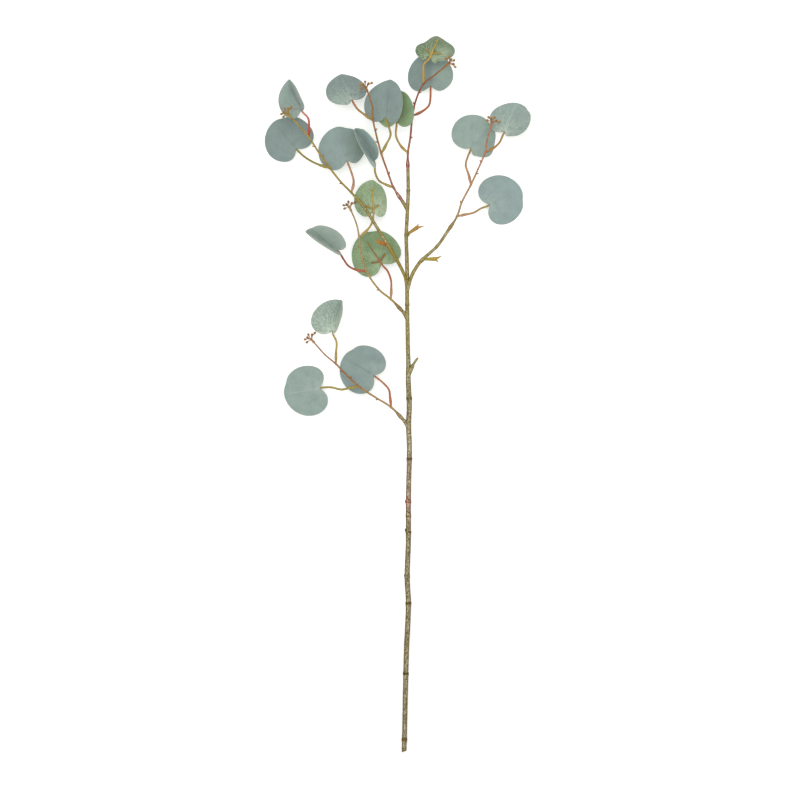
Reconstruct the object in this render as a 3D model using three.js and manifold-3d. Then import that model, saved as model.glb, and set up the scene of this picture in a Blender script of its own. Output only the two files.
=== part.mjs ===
import * as THREE from "three";
import { mergeVertices } from "three/addons/utils/BufferGeometryUtils.js";
import Module from "manifold-3d";

const wasm = await Module();
wasm.setup();

// A eucalyptus branch lying on a table, in millimetres.
// Places are on a layout sheet: x to the right, y from the tips down to the cut end, z above the table.
const SHEET_MIDDLE = { x: 397, y: 394 };
const CLEARANCE = 0.3;

// Main stem: its line, its height at both ends, its radius by place and its swollen nodes.
const STEM_LINE = [
  [404, 758], [405.5, 690], [406.3, 655], [408.4, 603], [407.2, 577], [408.4, 540], [408.4, 500],
  [409.4, 450], [408.6, 425], [409.3, 405], [408, 380], [407.8, 345], [407.2, 305], [407, 265],
  [406.3, 235], [407.2, 215], [408.3, 190],
];
const STEM_FOOT = { y: 753, height: 2.37 };
const STEM_TOP = { y: 171, height: 28 };
const STEM_RADII = [[753, 2.4], [640, 2.65], [430, 2.4], [330, 1.85], [171, 1.65]];
const STEM_NODES = [740, 674, 603, 577, 531, 502, 459, 398, 305, 235, 191];
const NODE_SWELL = 0.5;
const NODE_HALF = 2;
const FOOT_CUT = { x: 404.4, y: 752, slant: 20, size: 16 };
const SPIKE = [[408.5, 373, 20], [413.5, 365, 22.5], [417.5, 358, 24]];
const SPIKE_RADII = [1.5, 1.2, 0.25];

// Arms of the stem, from the fork to the sleeve that they carry.
const LEFT_ARM = [[405.5, 280, 25], [394.2, 255.5, 26], [380, 232.5, 26.5], [363.8, 207, 26]];
const RIGHT_ARM = [
  [407, 287, 24.5], [411.7, 276, 25], [419.5, 263, 25], [437.7, 245.7, 24], [446, 233.8, 23.5],
];
const ARM_RADIUS = 1.55;

// Joints: a stub ends in a peg, and a sleeve sits over the peg.
const STUB_RADIUS = 1.65;
const STUB_SHOULDER = 1;
const TWIG_PEG = { radius: 1, length: 7 };
const STALK_PEG = { radius: 0.5, length: 4.2 };
const BRACT_PEG = { radius: 0.6, length: 5 };

// Twigs and their nubs.
const TWIG_RADIUS = { sleeve: 1.85, foot: 1.05, tip: 0.7 };
const TWIG_SLEEVE = { full: 7, end: 12 };
const NUB = { length: 2.8, radius: 0.7, angle: 55, shares: [0.4, 0.34, 0.7] };

// Leaf stalks with the three ribs that hold a blade.
const STALK_RADIUS = { sleeve: 1.35, shaft: 0.7, ribEnd: 0.4 };
const STALK_SLEEVE = { mouth: 1.6, full: 5, end: 12 };
const STALK_NECK = 2.5;
const RIB_GAP = 0.45;
const RIB_HUB = 2.5;
const RIB_REACH = 0.74;
const SIDE_RIB = { length: 9.5, angle: 65 };

// Leaf blade: a round blade with two lobes beside the notch, and a small dent beside the tip.
const BLADE_THICKNESS = 0.5;
const BLADE_SOFT_FOLD = 1.5;
const BLADE_CENTRE = 0.45;
const LOBE_REACH = THREE.MathUtils.degToRad(135);
const LOBE_POWER = 0.6;
const SIDE_PINCH = 0.05;
const DENT = { angle: -18, depth: 0.035, half: 9 };
const POINT_HALF = 14;

// Bud clusters: one fan of buds for every twig tip.
const BUD_FAN = [
  { turn: 48, climb: 10, length: 8.5 },
  { turn: 12, climb: 32, length: 8 },
  { turn: -20, climb: -4, length: 9 },
  { turn: -52, climb: 20, length: 8 },
];
const BUD = { radius: 1.1, half: 1.9, stem: 0.55 };
const BUD_HUB = { radius: 1.45, grip: 2.2, cap: 1.2 };

// Bracts: a short sleeve with two prongs.
const BRACTS = [
  {
    name: "stem", foot: [406.6, 235, 25.4], fork: [415, 229, 27],
    prongs: [[418.2, 224.5, 27], [423.6, 226.7, 28]],
  },
  {
    name: "left_arm", foot: [388, 246, 26.2], fork: [382.5, 242.9, 27],
    prongs: [[374.7, 241.9, 27], [378.5, 238.6, 29]],
  },
  {
    name: "right_arm", foot: [423, 259.5, 24.8], fork: [432.5, 259, 25.5],
    prongs: [[441.5, 256, 25], [437.7, 262.4, 27]],
  },
];
const BRACT_RADIUS = { sleeve: 1.6, root: 1.4, tip: 0.4 };

// Sprays. A route runs: sleeve mouth, joint, bend, joint, bend, joint, bend, tip.
// A leaf has its stalk's bends, its notch and tip, and the lean of its left and right half in degrees.
// A swell of its edge has a direction in degrees from the midrib, a share of the reach and a half width.
const SPRAYS = [
  {
    name: "lower_left",
    nubSide: 1,
    stub: [408.6, 428, 16.8],
    route: [
      [404, 420.5, 17.5], [391.2, 407.3, 18], [374, 396.5, 17.5], [359, 386.5, 17],
      [347, 375.5, 17], [336, 364, 18], [325.3, 355, 19], [312.8, 341, 20.5],
    ],
    leaves: [
      {
        bends: [[390, 396.5, 15.5], [389, 390, 13], [384, 383.7, 10]],
        notch: [373.5, 375.5, 7], tip: [344, 356, 5], lean: [4, 20],
      },
      {
        bends: [[349.5, 388, 15], [341.5, 389.5, 12], [331, 387.3, 7.5]],
        notch: [319.5, 388, 4.6], tip: [284, 394.5, 4.2], lean: [-6, -10],
        swells: [[-80, -0.05, 30]],
      },
      {
        bends: [[336, 353.5, 17.5], [336.5, 342, 16.2]],
        notch: [333.5, 331, 18], tip: [342, 300.5, 21], lean: [4, 79],
        swells: [[95, 0.14, 35], [-106, -0.6, 28]],
      },
    ],
  },
  {
    name: "middle_left",
    nubSide: 1,
    stub: [407.3, 319, 21.5],
    route: [
      [403.3, 312.2, 22.3], [390.9, 299.3, 22.5], [380, 290.6, 22], [366.6, 271.7, 21.5],
      [360.5, 250, 21], [359.3, 237.5, 20.5], [356.5, 224, 21], [350.5, 209.5, 22],
    ],
    leaves: [
      {
        bends: [[391.3, 288.5, 20], [391, 280.5, 17.5], [387.5, 271, 14.5]],
        notch: [381.5, 263.5, 11], tip: [362, 234, 10], lean: [-10, -15], back: true,
        swells: [[-100, 0.1, 22], [40, -0.03, 25]],
      },
      {
        bends: [[355.5, 269.7, 20.5], [348.5, 266, 17.5], [344, 260, 15]],
        notch: [336.5, 250.5, 16], tip: [305.5, 231.5, 18], lean: [82, 50],
        swells: [[-100, -0.1, 25]],
      },
      {
        bends: [[367, 230.5, 20], [371.5, 224, 19.5]],
        notch: [373.5, 211.5, 19], tip: [372, 180, 17], lean: [-32, -52], back: true,
        swells: [[105, -0.15, 25]],
      },
    ],
  },
  {
    name: "upper_left",
    nubSide: 1,
    route: [
      [362.3, 205.2, 26], [351.5, 193, 25.5], [341.6, 183, 25], [330, 168.5, 24.5],
      [319, 153, 24], [309, 137.5, 24.5], [300, 127, 26.5], [289.5, 116, 29.5],
    ],
    leaves: [
      {
        bends: [[353.7, 182, 22], [350.5, 170, 17.5]],
        notch: [347, 160.5, 15], tip: [336, 127, 12], lean: [0, -26],
        swells: [[-105, -0.25, 28]],
      },
      {
        bends: [[318, 164.5, 20], [306.3, 158, 11.5]],
        notch: [296, 148.3, 4.5], tip: [273.5, 121.5, 4], lean: [-9, -10],
        swells: [[100, -0.1, 25], [-95, 0.05, 22]],
      },
      {
        bends: [[309.2, 127.5, 20], [307.8, 117.5, 12]],
        notch: [301.5, 109.5, 13], tip: [290, 81.5, 16], lean: [28, 79], point: 0.08,
        swells: [[-108, -0.7, 26]],
      },
    ],
  },
  {
    name: "right",
    nubSide: 1,
    route: [
      [447.5, 231.6, 23.5], [457, 216.5, 22.5], [461.5, 203, 22], [470.8, 185, 21.5],
      [479.5, 166, 21], [485, 153, 20.5], [487.3, 139, 21.5], [491.3, 125, 23],
    ],
    leaves: [
      {
        bends: [[464.8, 214.8, 20], [473.5, 212.7, 15], [481, 208.3, 9]],
        notch: [490, 204.5, 4.4], tip: [521.5, 189, 3.3], lean: [-6, -9],
      },
      {
        bends: [[468.7, 175, 19], [465.7, 165, 15], [468, 156, 10]],
        notch: [471.3, 147.5, 5.4], tip: [480.8, 116, 4], lean: [-10, -12],
        swells: [[60, 0.05, 25], [103, -0.22, 24], [-75, -0.05, 25], [-118, 0.15, 15]],
      },
      {
        bends: [[493.5, 148.2, 19.5], [499.5, 142.5, 18]],
        notch: [505, 131.7, 15], tip: [523.5, 105, 9], lean: [-14, 48],
        swells: [[45, -0.06, 30], [100, -0.15, 22], [-60, 0.05, 25], [-110, -0.4, 25]],
      },
    ],
  },
  {
    name: "upper_middle",
    nubSide: -1,
    stub: [407.2, 209.5, 26.5],
    route: [
      [402.6, 202, 28], [393.7, 188.2, 29.5], [387.2, 171, 30.7], [381.4, 154.4, 32],
      [377.2, 139, 32.5], [373.3, 121.5, 33.5], [372, 106, 34.5], [366.8, 90.5, 35.5],
    ],
    leaves: [
      {
        bends: [[384.5, 184.2, 24], [378.5, 180, 15], [375, 171.5, 8]],
        notch: [373.3, 160, 9.5], tip: [354.5, 128.5, 8], lean: [80, 66],
        swells: [[112, 0.45, 24], [-112, -0.85, 24]],
      },
      {
        bends: [[386.3, 145, 31.5], [390.6, 135, 29.5]],
        notch: [386.3, 117.5, 27.5], tip: [390.5, 82.3, 28], lean: [-22, 54], point: 0.07,
        swells: [[30, -0.03, 25]],
      },
      {
        bends: [[364.5, 115.2, 30.5], [357.5, 109.5, 27]],
        notch: [352, 100, 23.5], tip: [340.5, 74.8, 9.5], lean: [8, -42], point: 0.02,
        swells: [[105, -0.38, 28], [35, 0.03, 20], [-48, 0.14, 26], [-114, -0.95, 30]],
      },
    ],
  },
  {
    name: "top",
    nubSide: -1,
    route: [
      [407.9, 171, 28], [407.9, 153.4, 26], [410.3, 138, 21.5], [412.5, 116, 16.5],
      [416, 100, 16.5], [423.6, 84, 18.5], [433.4, 76.4, 20.5], [447.3, 65, 22],
    ],
    leaves: [
      {
        bends: [[400.7, 146, 24.5], [396, 136, 22]],
        notch: [396.5, 122, 19.5], tip: [394.5, 88.5, 19], lean: [-4, 45], back: true,
        swells: [[95, -0.22, 28], [-95, 0.12, 25]],
      },
      {
        bends: [[422, 111.5, 15], [429, 105, 11]],
        notch: [430.7, 85.3, 5.5], tip: [431, 53, 3.6], lean: [-12, -12],
        swells: [[95, 0.04, 20], [-105, -0.15, 25]],
      },
      {
        bends: [[423.4, 73.5, 20.5], [424, 64.5, 22.5]],
        notch: [430.3, 56.7, 21.5], tip: [439.5, 36.5, 4], lean: [-32, 0], bow: 4, back: true,
        swells: [[9, 0.07, 7], [38, -0.2, 18], [105, -0.3, 22], [-45, 0.06, 20], [-100, -0.4, 22]],
      },
    ],
  },
];

// Facets of the rods and blades.
const STEM_SIDES = 10;
const ROD_SIDES = 6;
const STALK_SIDES = 6;
const RIB_SIDES = 4;
const ROD_STEP = 8.5;
const TRUNK_STEP = 34;
const ARM_STEP = 11;
const BLADE_SPOKES = 18;
const BLADE_RINGS = [0, 0.4, 0.75, 1];

const COLOURS = {
  stem: "#8c7d58", twig: "#94633f", stalk: "#96703f", bud: "#8a6a3c", bract: "#a8873f",
  bladeFront: "#92a59c", bladeBack: "#86976a",
};

function at([x, y, z]) {
  return new THREE.Vector3(x - SHEET_MIDDLE.x, SHEET_MIDDLE.y - y, z);
}

function through(points) {
  return new THREE.CatmullRomCurve3(points, false, "centripetal");
}

function blend(stations, place) {
  const next = stations.findIndex(([y]) => y <= place);
  if (next < 0) {
    return stations.at(-1)[1];
  }
  const [yAfter, after] = stations[next];
  const [yBefore, before] = stations[Math.max(0, next - 1)];
  const share = yBefore === yAfter ? 0 : (yBefore - place) / (yBefore - yAfter);
  return THREE.MathUtils.lerp(before, after, share);
}

function sleeveRadius(distance, { full, end }, thick, thin) {
  return THREE.MathUtils.lerp(thick, thin, THREE.MathUtils.smoothstep(distance, full, end));
}

function toSolid(geometry) {
  geometry.deleteAttribute("normal");
  geometry.deleteAttribute("uv");
  const merged = mergeVertices(geometry, 1e-5);
  const vertProperties = new Float32Array(merged.attributes.position.array);
  const triVerts = new Uint32Array(merged.index.array);
  return new wasm.Manifold(new wasm.Mesh({ numProp: 3, vertProperties, triVerts }));
}

function joined(solids) {
  return solids.reduce((whole, solid) => whole.add(solid));
}

// Frames along a curve at the given distances, turned as little as the curve allows.
function framesAlong(curve, distances) {
  const length = curve.getLength();
  const side = new THREE.Vector3();
  let before = null;
  return distances.map((distance) => {
    const share = THREE.MathUtils.clamp(distance / length, 0, 1);
    const tangent = curve.getTangentAt(share);
    if (before) {
      side.applyQuaternion(new THREE.Quaternion().setFromUnitVectors(before, tangent));
    } else {
      side.set(0, 0, 1).addScaledVector(tangent, -tangent.z).normalize();
    }
    before = tangent;
    return { point: curve.getPointAt(share), side: side.clone(), across: tangent.clone().cross(side) };
  });
}

// A closed round rod along a curve, with a radius for each distance.
function rod(curve, radiusAt, options = {}) {
  const { from = 0, to = curve.getLength(), spacing = ROD_STEP, sides = ROD_SIDES, marks = [] } = options;
  const count = Math.max(1, Math.ceil((to - from) / spacing));
  const even = Array.from({ length: count + 1 }, (_, k) => from + ((to - from) * k) / count);
  const clear = (d) => d === from || d === to || marks.every((mark) => Math.abs(mark - d) > NODE_HALF);
  const distances = [...even.filter(clear), ...marks].sort((a, b) => a - b);
  const frames = framesAlong(curve, distances);
  const circle = new THREE.Shape().absarc(0, 0, 1, 0, 2 * Math.PI, false);
  const steps = distances.length - 1;
  const geometry = new THREE.ExtrudeGeometry(circle, {
    depth: steps, steps, bevelEnabled: false, curveSegments: sides / 2,
  });
  const position = geometry.attributes.position;
  const vertex = new THREE.Vector3();
  for (let k = 0; k < position.count; k += 1) {
    vertex.fromBufferAttribute(position, k);
    const station = Math.round(vertex.z);
    const radius = radiusAt(distances[station]);
    const { point, side, across } = frames[station];
    vertex.copy(point);
    vertex.addScaledVector(side, radius * position.getX(k));
    vertex.addScaledVector(across, radius * position.getY(k));
    position.setXYZ(k, vertex.x, vertex.y, vertex.z);
  }
  return toSolid(geometry);
}

function taperedRod(points, radii, options) {
  const curve = through(points);
  const length = curve.getLength();
  const radiusAt = (distance) => {
    const place = (distance / length) * (radii.length - 1);
    const low = Math.min(Math.floor(place), radii.length - 2);
    return THREE.MathUtils.lerp(radii[low], radii[low + 1], place - low);
  };
  return rod(curve, radiusAt, options);
}

// Distance along a curve of each of the points that it runs through.
function distancesOfPoints(curve) {
  const perSpan = 100;
  const lengths = curve.getLengths(perSpan * (curve.points.length - 1));
  return curve.points.map((_, k) => lengths[k * perSpan]);
}

// Main stem with its arms.
function stemHeight(y) {
  const share = (STEM_FOOT.y - y) / (STEM_FOOT.y - STEM_TOP.y);
  return THREE.MathUtils.lerp(STEM_FOOT.height, STEM_TOP.height, share);
}

function stemRadius(y) {
  const swell = STEM_NODES.reduce((most, node) => {
    return Math.max(most, 1 - Math.abs(y - node) / NODE_HALF);
  }, 0);
  return blend(STEM_RADII, y) + NODE_SWELL * swell;
}

function footCut() {
  const box = new THREE.BoxGeometry(FOOT_CUT.size, FOOT_CUT.size, FOOT_CUT.size);
  box.translate(0, -FOOT_CUT.size / 2, 0);
  box.rotateZ(THREE.MathUtils.degToRad(FOOT_CUT.slant));
  const place = at([FOOT_CUT.x, FOOT_CUT.y, stemHeight(FOOT_CUT.y)]);
  box.translate(place.x, place.y, place.z);
  return toSolid(box);
}

function makeTrunkRod(topTwig) {
  const line = STEM_LINE.map(([x, y]) => at([x, y, stemHeight(y)]));
  const curve = through([...line, topTwig.getPointAt(0), shoulderOf(topTwig)]);
  const length = curve.getLength();
  const sheetY = (distance) => SHEET_MIDDLE.y - curve.getPointAt(Math.min(1, distance / length)).y;
  const marks = STEM_NODES.flatMap((node) => {
    const middle = ((sheetY(0) - node) / (sheetY(0) - sheetY(length))) * length;
    return [middle - NODE_HALF, middle, middle + NODE_HALF];
  });
  const radiusAt = (distance) => stemRadius(sheetY(distance));
  return { curve, radiusAt, options: { spacing: TRUNK_STEP, sides: STEM_SIDES, marks } };
}

function makeArmRod(points, twig) {
  const curve = through([...points.map(at), shoulderOf(twig)]);
  return { curve, radiusAt: () => ARM_RADIUS, options: { spacing: ARM_STEP, sides: STEM_SIDES } };
}

// The place on a twig's line where the stub below its sleeve ends.
function shoulderOf(twig) {
  return twig.getPointAt(STUB_SHOULDER / twig.getLength());
}

function pegAlong(curve, peg) {
  return rod(curve, () => peg.radius, { to: peg.length, spacing: peg.length });
}

function boreAlong(curve, peg) {
  const depth = peg.length + CLEARANCE;
  return rod(curve, () => peg.radius + CLEARANCE, { to: depth, spacing: depth });
}

function makeStem(stemRods, twigs, bractCurves) {
  const solids = stemRods.map(({ curve, radiusAt, options }) => rod(curve, radiusAt, options));
  for (const spray of SPRAYS.filter(({ stub }) => stub)) {
    const twig = twigs[spray.name];
    const points = [at(spray.stub), twig.getPointAt(0), shoulderOf(twig)];
    solids.push(taperedRod(points, [STUB_RADIUS, STUB_RADIUS], { sides: STEM_SIDES }));
  }
  solids.push(...SPRAYS.map(({ name }) => pegAlong(twigs[name], TWIG_PEG)));
  solids.push(...bractCurves.map((curve) => pegAlong(curve, BRACT_PEG)));
  solids.push(taperedRod(SPIKE.map(at), SPIKE_RADII));
  return joined(solids).subtract(footCut());
}

// Twigs. The joints of a twig are the distances at which its three leaf stalks leave it.
function jointsOf(twig) {
  const [, first, , second, , third] = distancesOfPoints(twig);
  return [first, second, third];
}

function twigRadius(curve, distance) {
  const share = distance / curve.getLength();
  const shaft = THREE.MathUtils.lerp(TWIG_RADIUS.foot, TWIG_RADIUS.tip, share);
  return sleeveRadius(distance, TWIG_SLEEVE, TWIG_RADIUS.sleeve, shaft);
}

function nubCurve(curve, distance, turn) {
  const share = distance / curve.getLength();
  const foot = curve.getPointAt(share);
  const direction = curve.getTangentAt(share);
  direction.applyAxisAngle(new THREE.Vector3(0, 0, 1), THREE.MathUtils.degToRad(turn));
  return new THREE.LineCurve3(foot, foot.clone().addScaledVector(direction, NUB.length));
}

function makeTwig(curve, stalkCurves, nubSide) {
  const [first, second, third] = jointsOf(curve);
  const nubPlaces = [
    THREE.MathUtils.lerp(first, second, NUB.shares[0]),
    THREE.MathUtils.lerp(second, third, NUB.shares[1]),
    THREE.MathUtils.lerp(second, third, NUB.shares[2]),
  ];
  const nubs = nubPlaces.map((place, k) => {
    const turn = (k % 2 ? -nubSide : nubSide) * NUB.angle;
    return rod(nubCurve(curve, place, turn), () => NUB.radius, { sides: RIB_SIDES });
  });
  const shaft = rod(curve, (distance) => twigRadius(curve, distance), { from: STUB_SHOULDER + CLEARANCE });
  const pegs = stalkCurves.map((stalk) => pegAlong(stalk, STALK_PEG));
  return joined([shaft, ...pegs, ...nubs]).subtract(boreAlong(curve, TWIG_PEG));
}

// Leaf blades. A place on a blade is u along the midrib, v to the left, and a lift off its middle surface.
function makeBlade({ notch, tip, lean, bow = 0, back = false, point = 0, swells = [] }) {
  const foot = at(notch);
  const along = at(tip).sub(foot);
  const length = along.length();
  along.normalize();
  const left = new THREE.Vector3(0, 0, 1).cross(along).normalize();
  const up = along.clone().cross(left);
  const surface = (u, v) => {
    const angle = THREE.MathUtils.degToRad(v > 0 ? lean[0] : lean[1]);
    const fold = Math.sin(angle) * (Math.hypot(v, BLADE_SOFT_FOLD) - BLADE_SOFT_FOLD);
    const arch = 4 * bow * (u / length) * (1 - u / length);
    const place = foot.clone().addScaledVector(along, u).addScaledVector(left, v * Math.cos(angle));
    return place.addScaledVector(up, fold + arch);
  };
  const place = (u, v, lift) => {
    const step = 0.05;
    const alongStep = surface(u + step, v).sub(surface(u - step, v));
    const acrossStep = surface(u, v + step).sub(surface(u, v - step));
    return surface(u, v).addScaledVector(alongStep.cross(acrossStep).normalize(), lift);
  };
  return { length, place, point, swells, ribSide: back ? 1 : -1 };
}

function bladeEdge(theta, { length, point, swells }) {
  const round = Math.max(0, Math.cos((theta / LOBE_REACH) * (Math.PI / 2))) ** LOBE_POWER;
  const pinch = 1 - SIDE_PINCH * Math.sin(theta) ** 2;
  const degrees = THREE.MathUtils.radToDeg(theta);
  const dent = point ? 0 : DENT.depth * Math.exp(-(((degrees - DENT.angle) / DENT.half) ** 2));
  const peak = point * Math.exp(-Math.abs(degrees) / POINT_HALF);
  const swell = swells.reduce((sum, [middle, size, half]) => {
    return sum + size * Math.exp(-(((degrees - middle) / half) ** 2));
  }, 0);
  return length * round * pinch * (1 - dent + peak + swell);
}

// A thin disc of rings, reshaped so that its rim is the blade's edge and its seam runs to the notch.
function makeLeaf(blade) {
  const half = BLADE_THICKNESS / 2;
  const under = BLADE_RINGS.map((ring) => new THREE.Vector2(ring, -half));
  const over = BLADE_RINGS.toReversed().map((ring) => new THREE.Vector2(ring, half));
  const disc = new THREE.LatheGeometry([...under, ...over], BLADE_SPOKES, -Math.PI, 2 * Math.PI);
  const position = disc.attributes.position;
  const centre = BLADE_CENTRE * blade.length;
  for (let k = 0; k < position.count; k += 1) {
    const ring = Math.hypot(position.getX(k), position.getZ(k));
    const theta = (Math.atan2(position.getX(k), position.getZ(k)) / Math.PI) * LOBE_REACH;
    const reach = bladeEdge(theta, blade);
    const u = THREE.MathUtils.lerp(centre, reach * Math.cos(theta), ring);
    const v = ring * reach * Math.sin(theta);
    const place = blade.place(u, v, position.getY(k));
    position.setXYZ(k, place.x, place.y, place.z);
  }
  return toSolid(disc);
}

// Leaf stalks.
function ribPlace(blade, u, v) {
  const lift = BLADE_THICKNESS / 2 + RIB_GAP + STALK_RADIUS.shaft;
  return blade.place(u, v, blade.ribSide * lift);
}

// One curve runs from the twig along the shaft, under the notch, and on as the middle rib.
function stalkCurve(joint, leaf, blade) {
  const ribEnd = RIB_REACH * blade.length;
  return through([
    joint, ...leaf.bends.map(at), ribPlace(blade, -STALK_NECK, 0), ribPlace(blade, RIB_HUB, 0),
    ribPlace(blade, (RIB_HUB + ribEnd) / 2, 0), ribPlace(blade, ribEnd, 0),
  ]);
}

function makeStalk(curve, blade, twig, joint) {
  const length = curve.getLength();
  const hub = distancesOfPoints(curve).at(-3);
  const shaft = rod(curve, (distance) => {
    const ribShare = Math.max(0, distance - hub) / (length - hub);
    const thin = THREE.MathUtils.lerp(STALK_RADIUS.shaft, STALK_RADIUS.ribEnd, ribShare);
    return sleeveRadius(distance, STALK_SLEEVE, STALK_RADIUS.sleeve, thin);
  }, { from: STALK_SLEEVE.mouth, sides: STALK_SIDES });
  const sideRibs = [-1, 1].map((side) => {
    const angle = THREE.MathUtils.degToRad(side * SIDE_RIB.angle);
    const points = [0, 0.5, 1].map((share) => {
      const reach = share * SIDE_RIB.length;
      return ribPlace(blade, RIB_HUB + reach * Math.cos(angle), reach * Math.sin(angle));
    });
    return taperedRod(points, [STALK_RADIUS.shaft, STALK_RADIUS.ribEnd], { sides: RIB_SIDES });
  });
  const clearOfTwig = rod(twig, (distance) => twigRadius(twig, distance) + CLEARANCE, {
    from: joint - STALK_SLEEVE.end / 2, to: joint + STALK_SLEEVE.end / 2,
  });
  return joined([shaft, ...sideRibs]).subtract(boreAlong(curve, STALK_PEG)).subtract(clearOfTwig);
}

// Bud clusters.
function makeBuds(curve) {
  const tip = curve.getPointAt(1);
  const heading = curve.getTangentAt(1);
  const inner = tip.clone().addScaledVector(heading, -BUD_HUB.grip);
  const outer = tip.clone().addScaledVector(heading, BUD_HUB.cap);
  const hubRadii = [BUD_HUB.radius, BUD_HUB.radius, BUD.stem];
  const hub = taperedRod([inner, outer], hubRadii, { spacing: BUD_HUB.grip });
  const bore = taperedRod(
    [inner.clone().addScaledVector(heading, -1), tip.clone().addScaledVector(heading, CLEARANCE)],
    [TWIG_RADIUS.tip + 2 * CLEARANCE, TWIG_RADIUS.tip + CLEARANCE],
  );
  const flat = Math.atan2(heading.y, heading.x);
  const buds = BUD_FAN.flatMap(({ turn, climb, length }) => {
    const bearing = flat + THREE.MathUtils.degToRad(turn);
    const rise = THREE.MathUtils.degToRad(climb);
    const direction = new THREE.Vector3(
      Math.cos(bearing) * Math.cos(rise), Math.sin(bearing) * Math.cos(rise), Math.sin(rise),
    );
    const middle = tip.clone().addScaledVector(direction, length - BUD.half);
    const body = new THREE.SphereGeometry(1, ROD_SIDES, ROD_SIDES / 2);
    body.scale(BUD.radius, BUD.half, BUD.radius);
    body.applyQuaternion(new THREE.Quaternion().setFromUnitVectors(new THREE.Vector3(0, 1, 0), direction));
    body.translate(middle.x, middle.y, middle.z);
    const foot = tip.clone().addScaledVector(heading, BUD_HUB.cap / 2);
    return [toSolid(body), taperedRod([foot, middle], [BUD.stem, BUD.stem], { sides: RIB_SIDES })];
  });
  return joined([hub, ...buds]).subtract(bore);
}

// Bracts.
function makeBract({ fork, prongs }, curve, stemRods) {
  const sleeve = rod(curve, () => BRACT_RADIUS.sleeve);
  const forks = prongs.map((prong) => {
    return taperedRod([at(fork), at(prong)], [BRACT_RADIUS.root, BRACT_RADIUS.tip]);
  });
  const clear = stemRods.map(({ curve: line, radiusAt, options }) => {
    return rod(line, (distance) => radiusAt(distance) + CLEARANCE, options);
  });
  const whole = joined([sleeve, ...forks]).subtract(boreAlong(curve, BRACT_PEG));
  return clear.reduce((rest, solid) => rest.subtract(solid), whole);
}

// Assembly.
const branch = new THREE.Group();

function addMesh(name, solid, colour, roughness) {
  const { vertProperties, triVerts } = solid.getMesh();
  const geometry = new THREE.BufferGeometry();
  geometry.setAttribute("position", new THREE.BufferAttribute(vertProperties, 3));
  geometry.setIndex(new THREE.BufferAttribute(triVerts, 1));
  geometry.computeVertexNormals();
  const material = new THREE.MeshStandardMaterial({ color: colour, roughness, metalness: 0 });
  const mesh = new THREE.Mesh(geometry, material);
  mesh.name = name;
  branch.add(mesh);
}

const twigs = Object.fromEntries(SPRAYS.map(({ name, route }) => [name, through(route.map(at))]));
const stemRods = [
  makeTrunkRod(twigs.top), makeArmRod(LEFT_ARM, twigs.upper_left), makeArmRod(RIGHT_ARM, twigs.right),
];
const bractCurves = BRACTS.map(({ foot, fork }) => new THREE.LineCurve3(at(foot), at(fork)));

addMesh("main_stem", makeStem(stemRods, twigs, bractCurves), COLOURS.stem, 0.6);
BRACTS.forEach((bract, k) => {
  addMesh(`bract_${bract.name}`, makeBract(bract, bractCurves[k], stemRods), COLOURS.bract, 0.6);
});
for (const spray of SPRAYS) {
  const twig = twigs[spray.name];
  const joints = jointsOf(twig);
  const blades = spray.leaves.map(makeBlade);
  const stalks = spray.leaves.map((leaf, k) => {
    return stalkCurve(twig.getPointAt(joints[k] / twig.getLength()), leaf, blades[k]);
  });
  addMesh(`twig_${spray.name}`, makeTwig(twig, stalks, spray.nubSide), COLOURS.twig, 0.55);
  addMesh(`buds_${spray.name}`, makeBuds(twig), COLOURS.bud, 0.55);
  spray.leaves.forEach(({ back }, k) => {
    const label = `${spray.name}_${k + 1}`;
    addMesh(`stalk_${label}`, makeStalk(stalks[k], blades[k], twig, joints[k]), COLOURS.stalk, 0.55);
    addMesh(`leaf_${label}`, makeLeaf(blades[k]), back ? COLOURS.bladeBack : COLOURS.bladeFront, 0.8);
  });
}

export default branch;
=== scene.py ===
import math
from collections import namedtuple
from types import SimpleNamespace as Values

import bpy
import numpy as np
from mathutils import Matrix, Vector
from mathutils.kdtree import KDTree


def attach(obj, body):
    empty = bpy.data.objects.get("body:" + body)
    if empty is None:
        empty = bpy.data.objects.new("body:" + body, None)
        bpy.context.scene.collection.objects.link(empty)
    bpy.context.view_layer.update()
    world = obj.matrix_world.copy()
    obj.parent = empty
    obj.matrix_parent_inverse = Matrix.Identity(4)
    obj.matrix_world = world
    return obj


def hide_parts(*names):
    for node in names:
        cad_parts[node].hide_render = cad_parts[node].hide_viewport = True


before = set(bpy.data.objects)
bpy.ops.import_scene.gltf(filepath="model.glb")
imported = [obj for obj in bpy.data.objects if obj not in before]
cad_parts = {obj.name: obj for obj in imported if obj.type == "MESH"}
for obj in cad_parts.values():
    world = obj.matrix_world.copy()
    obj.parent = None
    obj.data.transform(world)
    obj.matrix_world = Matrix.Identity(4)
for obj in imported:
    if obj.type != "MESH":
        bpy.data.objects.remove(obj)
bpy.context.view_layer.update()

# Places are on the layout sheet of the branch, in millimetres: x to the right, y from the tips down to
# the cut end, z above the table. Meshes are made in millimetres and shrunk to metres at the end.
MM = 0.001
SHEET_MIDDLE = (397.0, 394.0)

# Mesh detail of each kind of rod: its number of sides and the most millimetres between evenly set rings.
DETAIL = {
    "trunk": (28, 0.55), "arm": (22, 0.55), "stub": (18, 0.8), "spike": (18, 0.8), "stem_peg": (16, 10),
    "twig": (16, 0.8), "nub": (12, 0.3), "twig_peg": (12, 10), "stalk": (14, 0.8), "rib": (10, 0.8),
    "calyx": (16, 10), "bud": (12, 0.7), "sheath": (16, 0.6), "prong": (14, 0.5),
}
BALL = Values(rings=10, sides=16, pole=0.02)
LEAF_SPOKES = 144
LEAF_RINGS = 30
SHARP_ANGLE = 40
SHARP_LEAF_ANGLE = 60

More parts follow.
